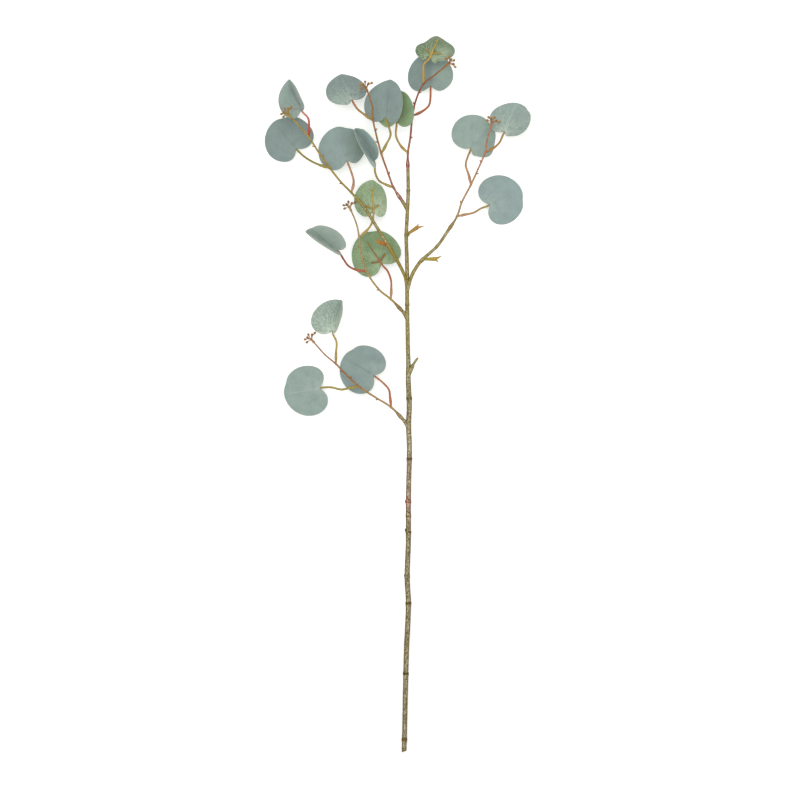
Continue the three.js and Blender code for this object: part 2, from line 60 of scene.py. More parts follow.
# Main stem. Radii and bloom of a rod are given at shares of its length, those of the trunk at a y. The
# bloom is pale paint kept to a rod's crest, so it is partly a painted highlight.
# A ring has a y and a strength, a scar a y, a half width and a strength, a bump a place and a radius.
STEM_LINE = [
    (404, 758), (405.5, 690), (406.3, 655), (408.4, 603), (407.2, 577), (408.4, 540), (408.4, 500),
    (409.4, 450), (408.6, 425), (409.3, 405), (408.2, 380), (408.4, 364), (407.8, 345), (407.2, 305),
    (407, 265), (406.3, 235), (407.2, 215), (408.3, 190),
]
STEM_FOOT = Values(y=753, height=2.37)
STEM_TOP = Values(y=171, height=28)
STEM_RADII = [
    (753, 2.4), (700, 2.5), (640, 2.65), (480, 2.5), (445, 2.6), (400, 2.65), (375, 2.5), (360, 2.2),
    (330, 2.1), (171, 1.7),
]
STEM_RINGS = {
    740: 0.95, 673.8: 1.0, 603.2: 0.95, 577: 0.25, 532: 0.7, 516: 0.2, 502: 0.5, 459: 0.8, 398.3: 0.7,
    304.5: 0.4, 235: 0.25, 191: 0.3,
}
STEM_STOPS = [
    (171, "bark_green", 0.6), (270, "bark_green", 0.5), (345, "bark_moss", 0.3), (375, "bark_olive", 1.0),
    (440, "bark", 1.0), (480, "bark_grey", 0.95), (525, "bark_low", 0.75), (753, "bark_low", 0.65),
]
STEM_SCARS = [(501.5, 6.0, 0.75), (505, 19.0, 0.3), (741, 2.2, 0.15)]
# Share of bloom kept over the scars, so the pale crest, partly a painted highlight, runs on over them.
SCAR_BLOOM_AND_HIGHLIGHT = 0.8
RING = Values(swell=0.5, least=0.5, half=2.2, groove=0.35, groove_half=0.5, line=1.3)
FOOT_CUT = Values(x=404.4, y=752, slant=20)
RIDGES = [
    Values(height=0.05, round=7, along=0.11, phase=0),
    Values(height=0.04, round=11, along=-0.23, phase=1.3),
]
KNOTS = Values(height=0.06, round=2, along=(0.9, 0.37), phase=0.7)
SPIKE = Values(
    line=[(408.5, 376, 19), (412.8, 365.4, 22.3), (418, 357.6, 24)],
    radii=[(0, 1.9), (0.45, 2.15), (0.55, 2.05), (0.6, 1.35), (0.94, 1.15), (1, 0.6)],
    bloom=[(0, 0.8), (0.38, 0.8), (0.54, 0.2), (0.64, 0.5), (0.9, 0.3), (1, 0)],
    colours="bark_olive bark_moss bark_moss bark_moss ochre",
)
STEM_BUMPS = [
    ((405.2, 575.5, 11), 1.3), ((404.5, 672, 7), 1.3), ((406.1, 501.5, 14.6), 1.3), ((411, 458, 16), 1.3),
    ((406, 530, 12.8), 1.3), ((408.2, 234.6, 26.6), 1.6),
]
BUMP_STRETCH = 1.4
ARMS = {
    "upper_left": Values(
        line=[
            (407, 289, 22.8), (404.9, 277, 24.4), (394.2, 255.5, 26), (380, 232.5, 26.5), (363.8, 207, 26),
        ],
        radii=[(0, 1.7), (0.14, 1.5), (0.3, 1.75), (0.44, 2.0), (0.49, 1.9), (0.52, 1.55), (1, 1.6)],
        bloom=[(0, 0.6), (0.12, 0.1), (0.48, 0.0), (0.53, 0.7), (1, 0.5)],
        colours="bark_green olive olive bark_green bark_green",
    ),
    "right": Values(
        line=[
            (407.3, 291, 22.7), (411.7, 276, 25), (419.5, 263, 25), (437.7, 245.7, 24), (446, 233.8, 23.5),
        ],
        radii=[
            (0, 1.8), (0.4, 1.75), (0.45, 2.1), (0.49, 2.05), (0.52, 1.55), (0.71, 1.55), (0.75, 1.8),
            (0.78, 1.55), (1, 1.6),
        ],
        bloom=[(0, 0.6), (0.3, 0.4), (0.52, 0.6), (1, 0.6)],
        colours="bark_green olive bark_green bark_green bark_green",
    ),
}
STUB_RADII = [(0, 2.2), (0.5, 1.85), (1, 1.85)]
STUB_SHOULDER = 1.0

# Twigs, stalks and ribs. A stalk's line ends with its neck and the hub, middle and end of its long rib.
TWIG = Values(
    start=1.05, mouth=1.6, sleeve=2.05, bulge=5.0, sleeve_end=13.0, shaft=[(0, 1.1), (1, 0.75)],
    bloom_ends=(16, 11),
)
STALK = Values(
    start=1.2, mouth=0.95, sleeve=1.58, bulge=5.5, sleeve_end=13.5,
    shaft=[(0, 1.15), (0.88, 1.0), (1, 0.8)], neck=2.5,
)
SLEEVE = Values(wall=0.3, lip=0.15, bevel=0.12, fall=0.7, bore=1.6)
PEG = Values(stem=1.0, twig=0.55, depth=0.8)
KNUCKLE = Values(swell=0.28, half=1.6, grain=0.03, round=5, along=0.5, clear=(2, 4))
NUB = Values(
    length=2.8, bend=0.6, sweep=0.5, angle=55, shares=(0.4, 0.34, 0.7),
    radii=[(0, 0.87), (0.45, 0.62), (0.85, 0.496), (1, 0.15)],
)
HUB_KNOT = -3
RIB = Values(root=0.8, end=0.48, gap=0.45, hub=2.5, reach=0.74, side_length=9.5, side_angle=65)
GLUE = Values(reach=0.8, tip=0.9, tip_side=0.4, sizes=(1.45, 1.15, 1.1), stretch=1.15, half=0.42, step=0.1)

# Leaf blades.
BLADE = Values(thickness=0.4, layer=0.5, fold=1.5, centre=0.45, rim=0.1, least_reach=0.5, normal_step=0.05)
LOBE_POWER = 0.6
SIDE_PINCH = 0.05
DENT = Values(angle=-18, depth=0.035, half=9)
POINT_HALF = 14
VEIN = Values(
    spacing=3.4, slope=0.8, bend=0.006, width=0.8, height=0.045, fade=(20, 6), midrib=0.16, midrib_half=0.8,
)
RIPPLE = Values(height=0.35, crest=2.5, waves=6, pace=(0.08, 0.3), calm=(4, 16), squeeze=0.6)
STRIPE = Values(start=(-1, 3), end=(0.98, 0.7))
LEAF_SHEET = 60.0
SHEET_MIDRIB = 0.5
TABLE_CLEARANCE = 0.06
SEED_STEP = 10

# Buds and bracts. A bud of the fan has a turn and a climb in degrees, and a length.
BUD_FAN = [(66, 10, 7.6), (40, 26, 10.2), (16, -6, 8.0), (-8, 24, 10.0), (-38, -4, 7.8), (-60, 14, 10.0)]
BUD_PROFILE = [
    (0, 0.4), (0.8, 0.55), (1.5, 1.0), (2.2, 1.26), (2.8, 1.24), (2.95, 1.1), (3.1, 1.14), (3.5, 0.8),
    (3.9, 0.38), (4.1, 0.1),
]
BUD = Values(
    foot=0.2, own_way=0.6, twig_way=0.4, bend=0.45, stem=0.38, flare=0.2, stem_start=0.8, stem_gap=0.2,
    fade=(2, 9),
)
CALYX = Values(
    back=3, ahead=2,
    profile=[(-3.0, 0.85), (-2.2, 1.15), (-0.6, 1.35), (0.6, 1.15), (1.5, 0.6), (1.8, 0.2)],
)
BRACTS = {
    "stem": Values(
        foot=(406.6, 235, 25.4), fork=(416.6, 228.2, 27), colours=("ochre", "tooth"),
        prongs=[(418.4, 223.9, 27), (424, 226.5, 28)],
    ),
    "left_arm": Values(
        foot=(388, 246, 26.2), fork=(380.4, 242.8, 27), colours=("tangerine", "tooth"),
        prongs=[(374.7, 241.7, 27), (378, 238.6, 28.7)],
    ),
    "right_arm": Values(
        foot=(423, 259.5, 24.8), fork=(435.2, 259.2, 25.5), colours=("lime", "gold"),
        prongs=[(441.5, 256.1, 25), (438, 262.6, 26.8)],
    ),
}
BRACT = Values(
    start=1.4, past=0.6, radii=[(0, 1.15), (0.4, 1.6), (1, 2.15)], root=2.5, bend=0.3,
    prong_radii=[(0, 1.4), (0.4, 1.4), (1, 0.28)], fade=8,
)

# Sprays. A route runs: sleeve mouth, joint, bend, joint, bend, joint, bend, tip.
# A leaf has its stalk's bends, its notch and tip, and the lean of its left and right half in degrees.
# Its lobes end at two directions in degrees from the midrib. A swell of its edge has a direction, a share
# of the reach and a half width. A stripe has a colour, a direction, a half width and a strength, a wash a
# colour, a place along and left of the midrib, a size and a strength.
JOINTS = slice(1, 6, 2)
PLAIN_LEAF = dict(
    back=False, bow=0, point=0, lobes=(135, 135), swells=[], rear="fern", vein=0.12, rear_vein=0.35, tone=1,
    stripes=[], washes=[],
)
SPRAYS = {
    "lower_left": Values(
        nub_side=1, stub=(408.6, 428, 16.8), twig="drab tan umber clay", buds="umber", bloom=0.3,
        route=[
            (404, 420.5, 17.5), (391.2, 407.3, 18), (374, 396.5, 17.5), (359, 386.5, 17), (347, 375.5, 17),
            (336, 364, 18), (325.3, 355, 19), (312.8, 341, 20.5),
        ],
    ),
    "middle_left": Values(
        nub_side=1, stub=(407.3, 319, 21.5), twig="drab ochre tan tan", buds="mauve", bloom=0.3,
        route=[
            (403.3, 312.2, 22.3), (390.9, 299.3, 22.5), (380, 290.6, 22), (366.6, 271.7, 21.5),
            (360.5, 250, 21), (359.3, 237.5, 20.5), (356.5, 224, 21), (350.5, 209.5, 22),
        ],
    ),
    "upper_left": Values(
        nub_side=1, stub=None, twig="olive olive ochre ochre", buds="amber", bloom=0.3,
        route=[
            (362.3, 205.2, 26), (351.5, 193, 25.5), (341.6, 183, 25), (330, 168.5, 24.5), (319, 153, 24),
            (309, 137.5, 24.5), (300, 127, 26.5), (289.5, 116, 29.5),
        ],
    ),
    "right": Values(
        nub_side=1, stub=None, twig="drab tan clay clay", buds="amber", bloom=0.3,
        route=[
            (447.5, 231.6, 23.5), (457, 216.5, 22.5), (461.5, 203, 22), (470.8, 185, 21.5),
            (479.5, 166, 21), (485, 153, 20.5), (487.3, 139, 21.5), (491.3, 125, 23),
        ],
    ),
    "upper_middle": Values(
        nub_side=-1, stub=(407.2, 209.5, 26.5), twig="brick cedar umber umber", buds="amber", bloom=0.8,
        route=[
            (402.6, 202, 28), (393.7, 188.2, 29.5), (387.2, 171, 30.7), (381.4, 154.4, 32),
            (377.2, 139, 32.5), (373.3, 121.5, 33.5), (372, 106, 34.5), (366.8, 90.5, 35.5),
        ],
    ),
    "top": Values(
        nub_side=-1, stub=None, twig="brick cedar brick umber", buds="amber", bloom=0.8,
        route=[
            (407.9, 171, 28), (407.9, 153.4, 26), (410.3, 138, 21.5), (412.5, 116, 16.5), (416, 100, 16.5),
            (423.6, 84, 18.5), (433.4, 76.4, 20.5), (447.3, 65, 22),
        ],
    ),
}
# Many stripes and washes below are painted shade and painted light over a leaf's folds, and some are a
# painted shadow of a leaf above; the others are the leaf's own tones and veins.
LEAVES = {
    # Its stripes and washes are painted shade and painted light of its folds and midrib crease.
    "lower_left_1": dict(
        bends=[(390, 396.5, 15.5), (389, 390, 13), (384, 383.7, 10)], notch=(373.5, 375.5, 7),
        tip=(344, 356, 5), lean=(4, 20), stalk="rust clay", front="slate",
        stripes=[("shade", 2, 1.0, 0.3), ("shade", 36, 4, 0.15)],
        washes=[
            ("mist", 6, -9, 4.5, 0.4), ("mist", -2, -13, 4, 0.3), ("shade", 11, -12, 5, 0.3),
            ("shade", 3, -17, 4.5, 0.3),
        ],
    ),
    "lower_left_2": dict(
        bends=[(349.5, 388, 15), (341.5, 389.5, 12), (331, 387.3, 7.5)], notch=(319.5, 388, 4.6),
        tip=(284, 394.5, 4.2), lean=(-6, -10), swells=[(-80, -0.05, 30)], stalk="olive ochre", front="sage",
        vein=0.2, tone=0.95, stripes=[("pale_vein", 0, 0.5, 0.25)], washes=[("shade", 7, 9, 5, 0.3)],
    ),
    "lower_left_3": dict(
        bends=[(336, 353.5, 17.5), (336.5, 342, 16.2)], notch=(333.5, 331, 18), tip=(342, 300.5, 21),
        lean=(4, 79), swells=[(95, 0.14, 35), (-106, -0.6, 28)], stalk="ochre ochre", front="mint",
        vein=1.0, tone=0.9, washes=[("fern", 12, -9, 7, 0.6), ("shade", 27, 3, 11, 0.4)],
    ),
    # Its two stripes are painted fold shade and painted light, and its dark olive washes are painted fold
    # shade.
    "middle_left_1": dict(
        bends=[(391.3, 288.5, 20), (391, 280.5, 17.5), (387.5, 271, 14.5)], notch=(381.5, 263.5, 11),
        tip=(362, 234, 10), lean=(-10, -15), back=True, swells=[(-100, 0.1, 22), (40, -0.03, 25)],
        stalk="tan rust rust umber olive", front="sage", rear_vein=0.5,
        stripes=[("moss", -24, 4, 0.5), ("celadon", 24, 5, 0.5)],
        washes=[
            ("thicket", 10, -15, 7, 0.35), ("celadon", 18, 11, 7, 0.5), ("thicket", 24, -4, 6, 0.25),
            ("thicket", 19, 5, 3.5, 0.6), ("thicket", 13, 8.5, 3.5, 0.6), ("thicket", 8, 12, 3.5, 0.5),
        ],
    ),
    # Its pale stripe is painted light in the valley of its fold, and its dark stripe is a painted shade
    # line along a crease.
    "middle_left_2": dict(
        bends=[(355.5, 269.7, 20.5), (348.5, 266, 17.5), (344, 260, 15)], notch=(336.5, 250.5, 16),
        tip=(305.5, 231.5, 18), lean=(82, 50), swells=[(-100, -0.1, 25)], stalk="rust brick brick",
        front="ash", tone=1.3, stripes=[("lift", -1, 2.5, 0.6), ("thicket", -15, 0.55, 0.55)],
    ),
    "middle_left_3": dict(
        bends=[(367, 230.5, 20), (371.5, 224, 19.5)], notch=(373.5, 211.5, 19), tip=(372, 180, 17),
        lean=(-32, -52), back=True, swells=[(105, -0.15, 25)], stalk="ochre gold", front="sage",
        rear="celadon", rear_vein=1.0, tone=0.88,
        washes=[("frost", 4, -13, 9, 0.5), ("moss", 0, 13, 8, 0.7)],
    ),
    # Its pale wash is painted light over its shaded right side.
    "upper_left_1": dict(
        bends=[(353.7, 182, 22), (350.5, 170, 17.5)], notch=(347, 160.5, 15), tip=(336, 127, 12),
        lean=(0, -26), swells=[(-105, -0.25, 28)], stalk="clay clay", front="slate",
        stripes=[("mauve_vein", 0, 0.6, 0.3)], washes=[("mist", 16, -20, 10, 0.4)],
    ),
    "upper_left_2": dict(
        bends=[(318, 164.5, 20), (306.3, 158, 11.5)], notch=(296, 148.3, 4.5), tip=(273.5, 121.5, 4),
        lean=(-9, -10), swells=[(100, -0.1, 25), (-95, 0.05, 22)], stalk="olive olive", front="slate",
        tone=0.84, stripes=[("shade", 0, 0.9, 0.2)],
    ),
    # Its pale wash is painted light over its shaded right half; its mauve stripes are its veins.
    "upper_left_3": dict(
        bends=[(309.2, 127.5, 20), (307.8, 117.5, 12)], notch=(301.5, 109.5, 13), tip=(290, 81.5, 16),
        lean=(28, 79), point=0.08, swells=[(-108, -0.7, 26)], stalk="crimson rose rose", front="sage",
        vein=0.3, tone=1.03, stripes=[("mauve_vein", 6, 0.7, 0.95), ("mauve_vein", 66, 0.8, 0.8)],
        washes=[("mist", 14, -9, 9, 0.6)],
    ),
    "right_1": dict(
        bends=[(464.8, 214.8, 20), (473.5, 212.7, 15), (481, 208.3, 9)], notch=(490, 204.5, 4.4),
        tip=(521.5, 189, 3.3), lean=(-6, -9), stalk="clay ochre ochre", front="dew", vein=0.2, tone=0.96,
    ),
    # Its stripes are painted shade and painted light of its folds.
    "right_2": dict(
        bends=[(468.7, 175, 19), (465.7, 165, 15), (468, 156, 10)], notch=(471.3, 147.5, 5.4),
        tip=(480.8, 116, 4), lean=(-10, -12), lobes=(122, 160),
        swells=[(50, 0.07, 35), (108, -0.2, 14), (-68, -0.13, 28), (-128, -0.36, 24)], stalk="clay ochre",
        front="sage", stripes=[("shade", 15, 1.4, 0.2), ("mist", -10, 5, 0.25), ("shade", -28, 3, 0.2)],
    ),
    "right_3": dict(
        bends=[(493.5, 148.2, 19.5), (499.5, 142.5, 18)], notch=(505, 131.7, 15), tip=(523.5, 105, 9),
        lean=(-14, 48), swells=[(45, -0.06, 30), (100, -0.15, 22), (-60, 0.05, 25), (-110, -0.4, 25)],
        stalk="umber ochre", front="sage", vein=0.6, tone=0.91,
        stripes=[("pale_vein", 14, 0.5, 0.22), ("pale_vein", 46, 0.5, 0.2)],
    ),
    # Its pale stripe and raised tone are painted light in the valley of its fold.
    "upper_middle_1": dict(
        bends=[(384.5, 184.2, 24), (378.5, 180, 15), (375, 171.5, 8)], notch=(373.3, 160, 9.5),
        tip=(354.5, 128.5, 8), lean=(80, 66), swells=[(112, 0.45, 24), (-112, -0.85, 24)],
        stalk="ochre olive", front="slate", tone=1.35, stripes=[("lift", 0, 9, 0.7)],
    ),
    "upper_middle_2": dict(
        bends=[(386.3, 145, 31.5), (390.6, 135, 29.5)], notch=(386.3, 117.5, 27.5), tip=(390.5, 82.3, 28),
        lean=(-22, 54), point=0.07, swells=[(30, -0.03, 25)], stalk="olive ochre", front="slate", tone=0.87,
        stripes=[("shade", 4, 0.7, 0.45)],
    ),
    "upper_middle_3": dict(
        bends=[(364.5, 115.2, 30.5), (357.5, 109.5, 27)], notch=(352, 100, 23.5), tip=(340.5, 74.8, 9.5),
        lean=(8, -42), point=0.02,
        swells=[(105, -0.38, 28), (35, 0.03, 20), (-48, 0.14, 26), (-114, -0.95, 30)],
        stalk="olive rust rust", front="slate", vein=0.4, tone=0.73, stripes=[("pale_vein", 0, 0.5, 0.2)],
        washes=[("mint", 2, 14, 13, 0.62)],
    ),
    # Its dark washes are a painted shadow of the leaf above it.
    "top_1": dict(
        bends=[(400.7, 146, 24.5), (396, 136, 22)], notch=(396.5, 122, 19.5), tip=(394.5, 88.5, 19),
        lean=(-4, 45), back=True, swells=[(95, -0.22, 28), (-95, 0.12, 25)], stalk="ochre ochre",
        front="sage", tone=1.28,
        washes=[("thicket", 14, -5, 7, 0.5), ("thicket", 26, -4, 7, 0.5)],
    ),
    "top_2": dict(
        bends=[(422, 111.5, 15), (429, 105, 11)], notch=(430.7, 85.3, 5.5), tip=(431, 53, 3.6),
        lean=(-12, -12), swells=[(95, 0.04, 20), (-105, -0.15, 25)], stalk="rust rust", front="slate",
        tone=0.88, stripes=[("shade", 12, 3.2, 0.4)], washes=[("mint", 12, -14, 13, 0.8)],
    ),
    "top_3": dict(
        bends=[(423.4, 73.5, 20.5), (424, 64.5, 22.5)], notch=(430.3, 56.7, 21.5), tip=(439.5, 36.5, 4),
        lean=(-32, 0), back=True, bow=4,
        swells=[(9, 0.07, 7), (38, -0.2, 18), (105, -0.3, 22), (-45, 0.06, 20), (-100, -0.4, 22)],
        stalk="ochre gold", front="sage", rear_vein=0.52, tone=0.53,
        washes=[("frost", 7, -13, 9, 0.45)],
    ),
}

# Colours, as they look in plain light. Some leaf colours stand for light and shade instead: they are washed
# over leaves as painted shade, painted shadow and painted light.
PALETTE = dict(
    slate="8fa19d", dew="95a8a5", ash="9ca9a0", lift="c4d2cc", thicket="5c7448", sage="96a9a1",
    mint="9eb2a4", mist="a9bab4", shade="6f8280", fern="86a078", moss="7c9a6c", celadon="92ad84",
    frost="bccab0", bark="80704c", bark_grey="7f6d52", bark_low="72653c", bark_olive="7c7344",
    # The pale bloom colour is partly a painted highlight, laid only on rod crests.
    bark_moss="8c8450", bark_green="8f8148", bloom="d3cab0", scar="8c4634", ring="5a4818", olive="93833c",
    ochre="a88d4a", umber="9c6f40", clay="b07f5e", rust="a8603f", brick="944f3f", tan="ab9163",
    drab="8c7644", cedar="a06c52", rose="cb826c", crimson="b0392b", mauve="936a50", amber="a37b42",
    lime="a39a3c", tangerine="a86028", rim="b0ab86", glue="a3953f", tooth="b98a3c", gold="b8953f",
    mauve_vein="96878c", pale_vein="dbe6d4", green_vein="c9d8b4",
)
LIGHT_LEVEL = 1.1
WHITE = (1.0, 1.0, 1.0, 1.0)

# Rods are darker down their flanks than on their crest, which starts at a share of the way up: painted
# shade on the flanks and a painted highlight on the crest.
STEM_PAINTED_LIGHT = dict(crest=(0.64, 0.97), flank_shade=(0.9, 0.85, 0.7), crest_highlight=(1.06, 1.06, 1.06))
TWIG_PAINTED_LIGHT = dict(crest=(0.5, 0.96), flank_shade=(0.8, 0.76, 0.68), crest_highlight=(1.12, 1.12, 1.12))
STALK_PAINTED_LIGHT = dict(crest=(0.5, 0.96), flank_shade=(0.94, 0.95, 0.95), crest_highlight=(1.2, 1.26, 1.45))
TWIG_SHARES = (0.08, 0.15, 0.55, 1.0)
LEAST_OFFSET = 0.01

# Materials. A noise has a scale, a detail and at times a roughness. A span has the two values it starts
# from and the two it leads to. A bump has a distance in metres and a strength.
BARK = Values(
    shine=0.08, streak=(900.0, 4.0, 0.6), patch=(140.0, 3.0), pits=(2600.0, 2.0),
    streak_tone=(0.32, 0.68, 0.66, 1.28), patch_bloom=(0.34, 0.6, 0.45, 1.0),
    streak_bloom=(0.46, 0.56, 0.04, 1.0), streak_height=0.7, pit_height=0.3,
    roughness=(0.3, 0.7, 0.42, 0.62), bump=0.00018, bump_strength=0.8,
)
PRINT = Values(
    wander=(5.0, 1.0), wander_along=5.0, wander_turn=0.4, feather=(0.1, 0.6, 1.0, 0.0),
    feather_fade=(6.0, 15.0, 0.1, 0.5), fan_back=1.5, fan_step=0.17, fan=(0.15, 0.75, 1.0, 0.0),
    fan_fade=(9.0, 26.0, 1.0, 0.2), cells=24.0, cell_lines=(0.02, 0.1, 0.3, 0.0), gaps=(16.0, 2.0),
    gap_lines=(0.33, 0.57, 0.12, 1.0), midrib=(0.2, 0.8, 1.0, 0.0), midrib_fade=(4.0, 26.0, 1.0, 0.2),
)
CLOTH = Values(
    sheen=0.12, sheen_roughness=0.5, shine=0.25, cloud=(7.0, 3.0), speck=(70.0, 3.0, 0.65),
    grain=(240.0, 2.0, 0.6), cloud_ends=(0.3, 0.7), speck_ends=(0.25, 0.75),
    grain_tone=(0.25, 0.75, -0.08, 0.08), crease=(0.3, 0.7, 0.1, 0.0), bright_rib=(0.3, 0.7, 0.0, 1.0),
    grain_height=0.5, speck_height=0.35, vein_height=0.6, roughness=(0.3, 0.7, 0.62, 0.8),
    bump=(0.00012, 0.7),
)
SKIN = Values(
    shine=0.22, cloud=(420.0, 3.0), cloud_tone=(0.3, 0.7, 0.8, 1.16), pits=(2400.0, 2.0),
    pit_ends=(0.3, 0.7), roughness_span=0.15, bump=(0.00006, 0.6),
)

# Camera, floor and light.
CAMERA = Values(lens=300.0, sensor=36.0, height=15.0, frame=800.0, middle=(400.0, 400.0))
FLOOR = Values(half=6.0, rise=-0.00005, glow=0.3, colour=(0.92, 0.92, 0.92, 1.0), roughness=0.9, shine=0.1)
SKY_STRENGTH = 0.85
KEY_LIGHT = Values(place=(-0.5, 0.9, 2.6), size=1.6, power=18.0)
FILL_LIGHT = Values(place=(0.9, -0.7, 3.0), size=2.4, power=8.0)

Solid = namedtuple("Solid", "points faces")


def at(place):
    x, y, z = place
    return np.array([x - SHEET_MIDDLE[0], SHEET_MIDDLE[1] - y, z], float)


def sheet_y(points):
    return SHEET_MIDDLE[1] - points[:, 1]


def linear(name):
    """A palette colour as linear light, darkened by the scene's light level."""
    code = PALETTE[name]
    channels = np.array([int(code[k:k + 2], 16) for k in (0, 2, 4)]) / 255
    light = np.where(channels <= 0.04045, channels / 12.92, ((channels + 0.055) / 1.055) ** 2.4)
    return light / LIGHT_LEVEL


def smooth(low, high, value):
    share = np.clip((np.asarray(value, float) - low) / (high - low), 0, 1)
    return share * share * (3 - 2 * share)


def unit(vectors):
    return vectors / np.linalg.norm(vectors, axis=-1, keepdims=True)


def cos_sin(degrees):
    return math.cos(math.radians(degrees)), math.sin(math.radians(degrees))


def between(stops, places):
    """Values at some places, from stops that each have a place and a value."""
    stop_places, values = np.array(stops, float).T
    return np.interp(places, stop_places, values)


def blend(first, second, shares):
    shares = shares[:, None]
    return first * (1 - shares) + second * shares


class Line:
    """A smooth line through points, measured by distance along it in millimetres."""

    SPAN = 96

    def __init__(self, points):
        points = np.array(points, float)
        padded = np.vstack([2 * points[0] - points[1], points, 2 * points[-1] - points[-2]])
        spans = [self.span(*padded[k:k + 4]) for k in range(len(points) - 1)]
        self.samples = np.vstack([*spans, points[-1:]])
        steps = np.linalg.norm(np.diff(self.samples, axis=0), axis=1)
        self.distances = np.concatenate([[0], np.cumsum(steps)])
        self.length = self.distances[-1]
        self.shares = self.distances / self.length
        self.knots = self.distances[::self.SPAN]
        self.tangents = unit(np.gradient(self.samples, axis=0))
        self.sides = self.carry_sides()

    def span(self, before, start, end, after):
        """Samples of the curve between two points, whose slopes come from the points before and after."""
        gaps = [np.linalg.norm(b - a) ** 0.5 for a, b in ((before, start), (start, end), (end, after))]
        first = (start - before) / gaps[0] - (end - before) / (gaps[0] + gaps[1]) + (end - start) / gaps[1]
        last = (end - start) / gaps[1] - (after - start) / (gaps[1] + gaps[2]) + (after - end) / gaps[2]
        first, last = first * gaps[1], last * gaps[1]
        t = np.linspace(0, 1, self.SPAN, endpoint=False)[:, None]
        cubic = 2 * (start - end) + first + last
        square = 3 * (end - start) - 2 * first - last
        return ((cubic * t + square) * t + first) * t + start

    def carry_sides(self):
        side = np.array([0.0, 0.0, 1.0])
        sides = []
        for tangent in self.tangents:
            side = unit(side - tangent * side.dot(tangent))
            sides.append(side)
        return np.array(sides)

    def mix(self, rows, distance):
        return np.stack([np.interp(distance, self.distances, column) for column in rows.T], axis=-1)

    def tangent(self, distance):
        return unit(self.mix(self.tangents, distance))

    def point(self, distance):
        inside = np.clip(distance, 0, self.length)
        beyond = (np.asarray(distance) - inside)[..., None]
        return self.mix(self.samples, inside) + beyond * self.tangent(inside)

    def frame(self, distance):
        tangent = self.tangent(distance)
        side = self.mix(self.sides, distance)
        side = unit(side - tangent * np.sum(side * tangent, axis=-1, keepdims=True))
        return self.point(distance), side, np.cross(tangent, side)


def ringed(rings):
    """A closed solid over rings of points, with a cap on the first ring and on the last."""
    count, sides = rings.shape[:2]
    faces = [tuple(range(sides - 1, -1, -1))]
    for k in range(count - 1):
        for j in range(sides):
            a, b = k * sides + j, k * sides + (j + 1) % sides
            faces.append((a, b, b + sides, a + sides))
    faces.append(tuple(range((count - 1) * sides, count * sides)))
    return Solid(rings.reshape(-1, 3), faces)


def tube(line, stations, kind, relief=None):
    """A closed round solid along a line. Each station is a distance and a radius."""
    distances, radii = np.array(stations, float).T
    sides = DETAIL[kind][0]
    middle, side, across = line.frame(distances)
    angles = np.linspace(0, math.tau, sides, endpoint=False)
    reach = np.repeat(radii[:, None], sides, axis=1)
    if relief:
        reach = reach + relief(distances[:, None], angles[None, :])
    ring = np.cos(angles)[None, :, None] * side[:, None] + np.sin(angles)[None, :, None] * across[:, None]
    return ringed(middle[:, None] + reach[..., None] * ring)


def spaced(start, end, kind):
    step = DETAIL[kind][1]
    return np.linspace(start, end, max(2, math.ceil((end - start) / step) + 1))


def rod(places, radii, kind, relief=None):
    """The line through some places and a round solid along all of it."""
    line = Line(places)
    distances = spaced(0, line.length, kind)
    stations = np.column_stack([distances, between(radii, distances / line.length)])
    return line, tube(line, stations, kind, relief)


def peg(line, start, radius, kind):
    """A pin from the start of a line into the bore of the sleeve that sits there."""
    end = start + SLEEVE.bore * PEG.depth
    return rod([line.point(0), line.point(end)], [(0, radius), (1, radius)], kind)[1]


def ball(middle, radii, axes):
    """A closed egg shape with three half axes."""
    polar = np.linspace(BALL.pole, math.pi - BALL.pole, BALL.rings)[:, None]
    angles = np.linspace(0, math.tau, BALL.sides, endpoint=False)
    parts = [np.sin(polar) * np.cos(angles), np.sin(polar) * np.sin(angles), -np.cos(polar)]
    shape = np.stack(np.broadcast_arrays(*parts), axis=-1)
    return ringed(middle + (shape * radii) @ np.array(axes))


def new_object(name, mesh):
    made = bpy.data.objects.new(name, mesh)
    bpy.context.scene.collection.objects.link(made)
    return made


def mesh_of(name, solid):
    mesh = bpy.data.meshes.new(name)
    mesh.from_pydata([tuple(point) for point in solid.points], [], solid.faces)
    return mesh


def joined(name, solids):
    """One mesh of all the solids, with the walls inside it taken out."""
    base = new_object(name, mesh_of(name, solids[0]))
    helpers = []
    for k, solid in enumerate(solids[1:]):
        helper = new_object(f"{name}_{k}", mesh_of(f"{name}_{k}", solid))
        helpers.append(helper)
        step = base.modifiers.new(f"join_{k}", "BOOLEAN")
        step.operation = "UNION"
        step.solver = "MANIFOLD"
        step.object = helper
    graph = bpy.context.evaluated_depsgraph_get()
    mesh = bpy.data.meshes.new_from_object(base.evaluated_get(graph))
    for used in [base, *helpers]:
        old = used.data
        bpy.data.objects.remove(used)
        bpy.data.meshes.remove(old)
    mesh.name = name
    mesh.materials.clear()
    mesh.polygons.foreach_set("material_index", np.zeros(len(mesh.polygons), np.int32))
    return mesh


def points_of(mesh):
    flat = np.empty(len(mesh.vertices) * 3)
    mesh.vertices.foreach_get("co", flat)
    return flat.reshape(-1, 3)


def set_points(mesh, points):
    mesh.vertices.foreach_set("co", np.asarray(points, np.float32).ravel())
    mesh.update()


def set_colours(mesh, colours):
    layer = mesh.attributes.new("tint", "FLOAT_COLOR", "POINT")
    full = np.concatenate([colours, np.ones((len(colours), 1))], axis=1)
    layer.data.foreach_set("color", full.astype(np.float32).ravel())


def set_values(mesh, name, values):
    layer = mesh.attributes.new(name, "FLOAT", "POINT")
    layer.data.foreach_set("value", values.astype(np.float32))


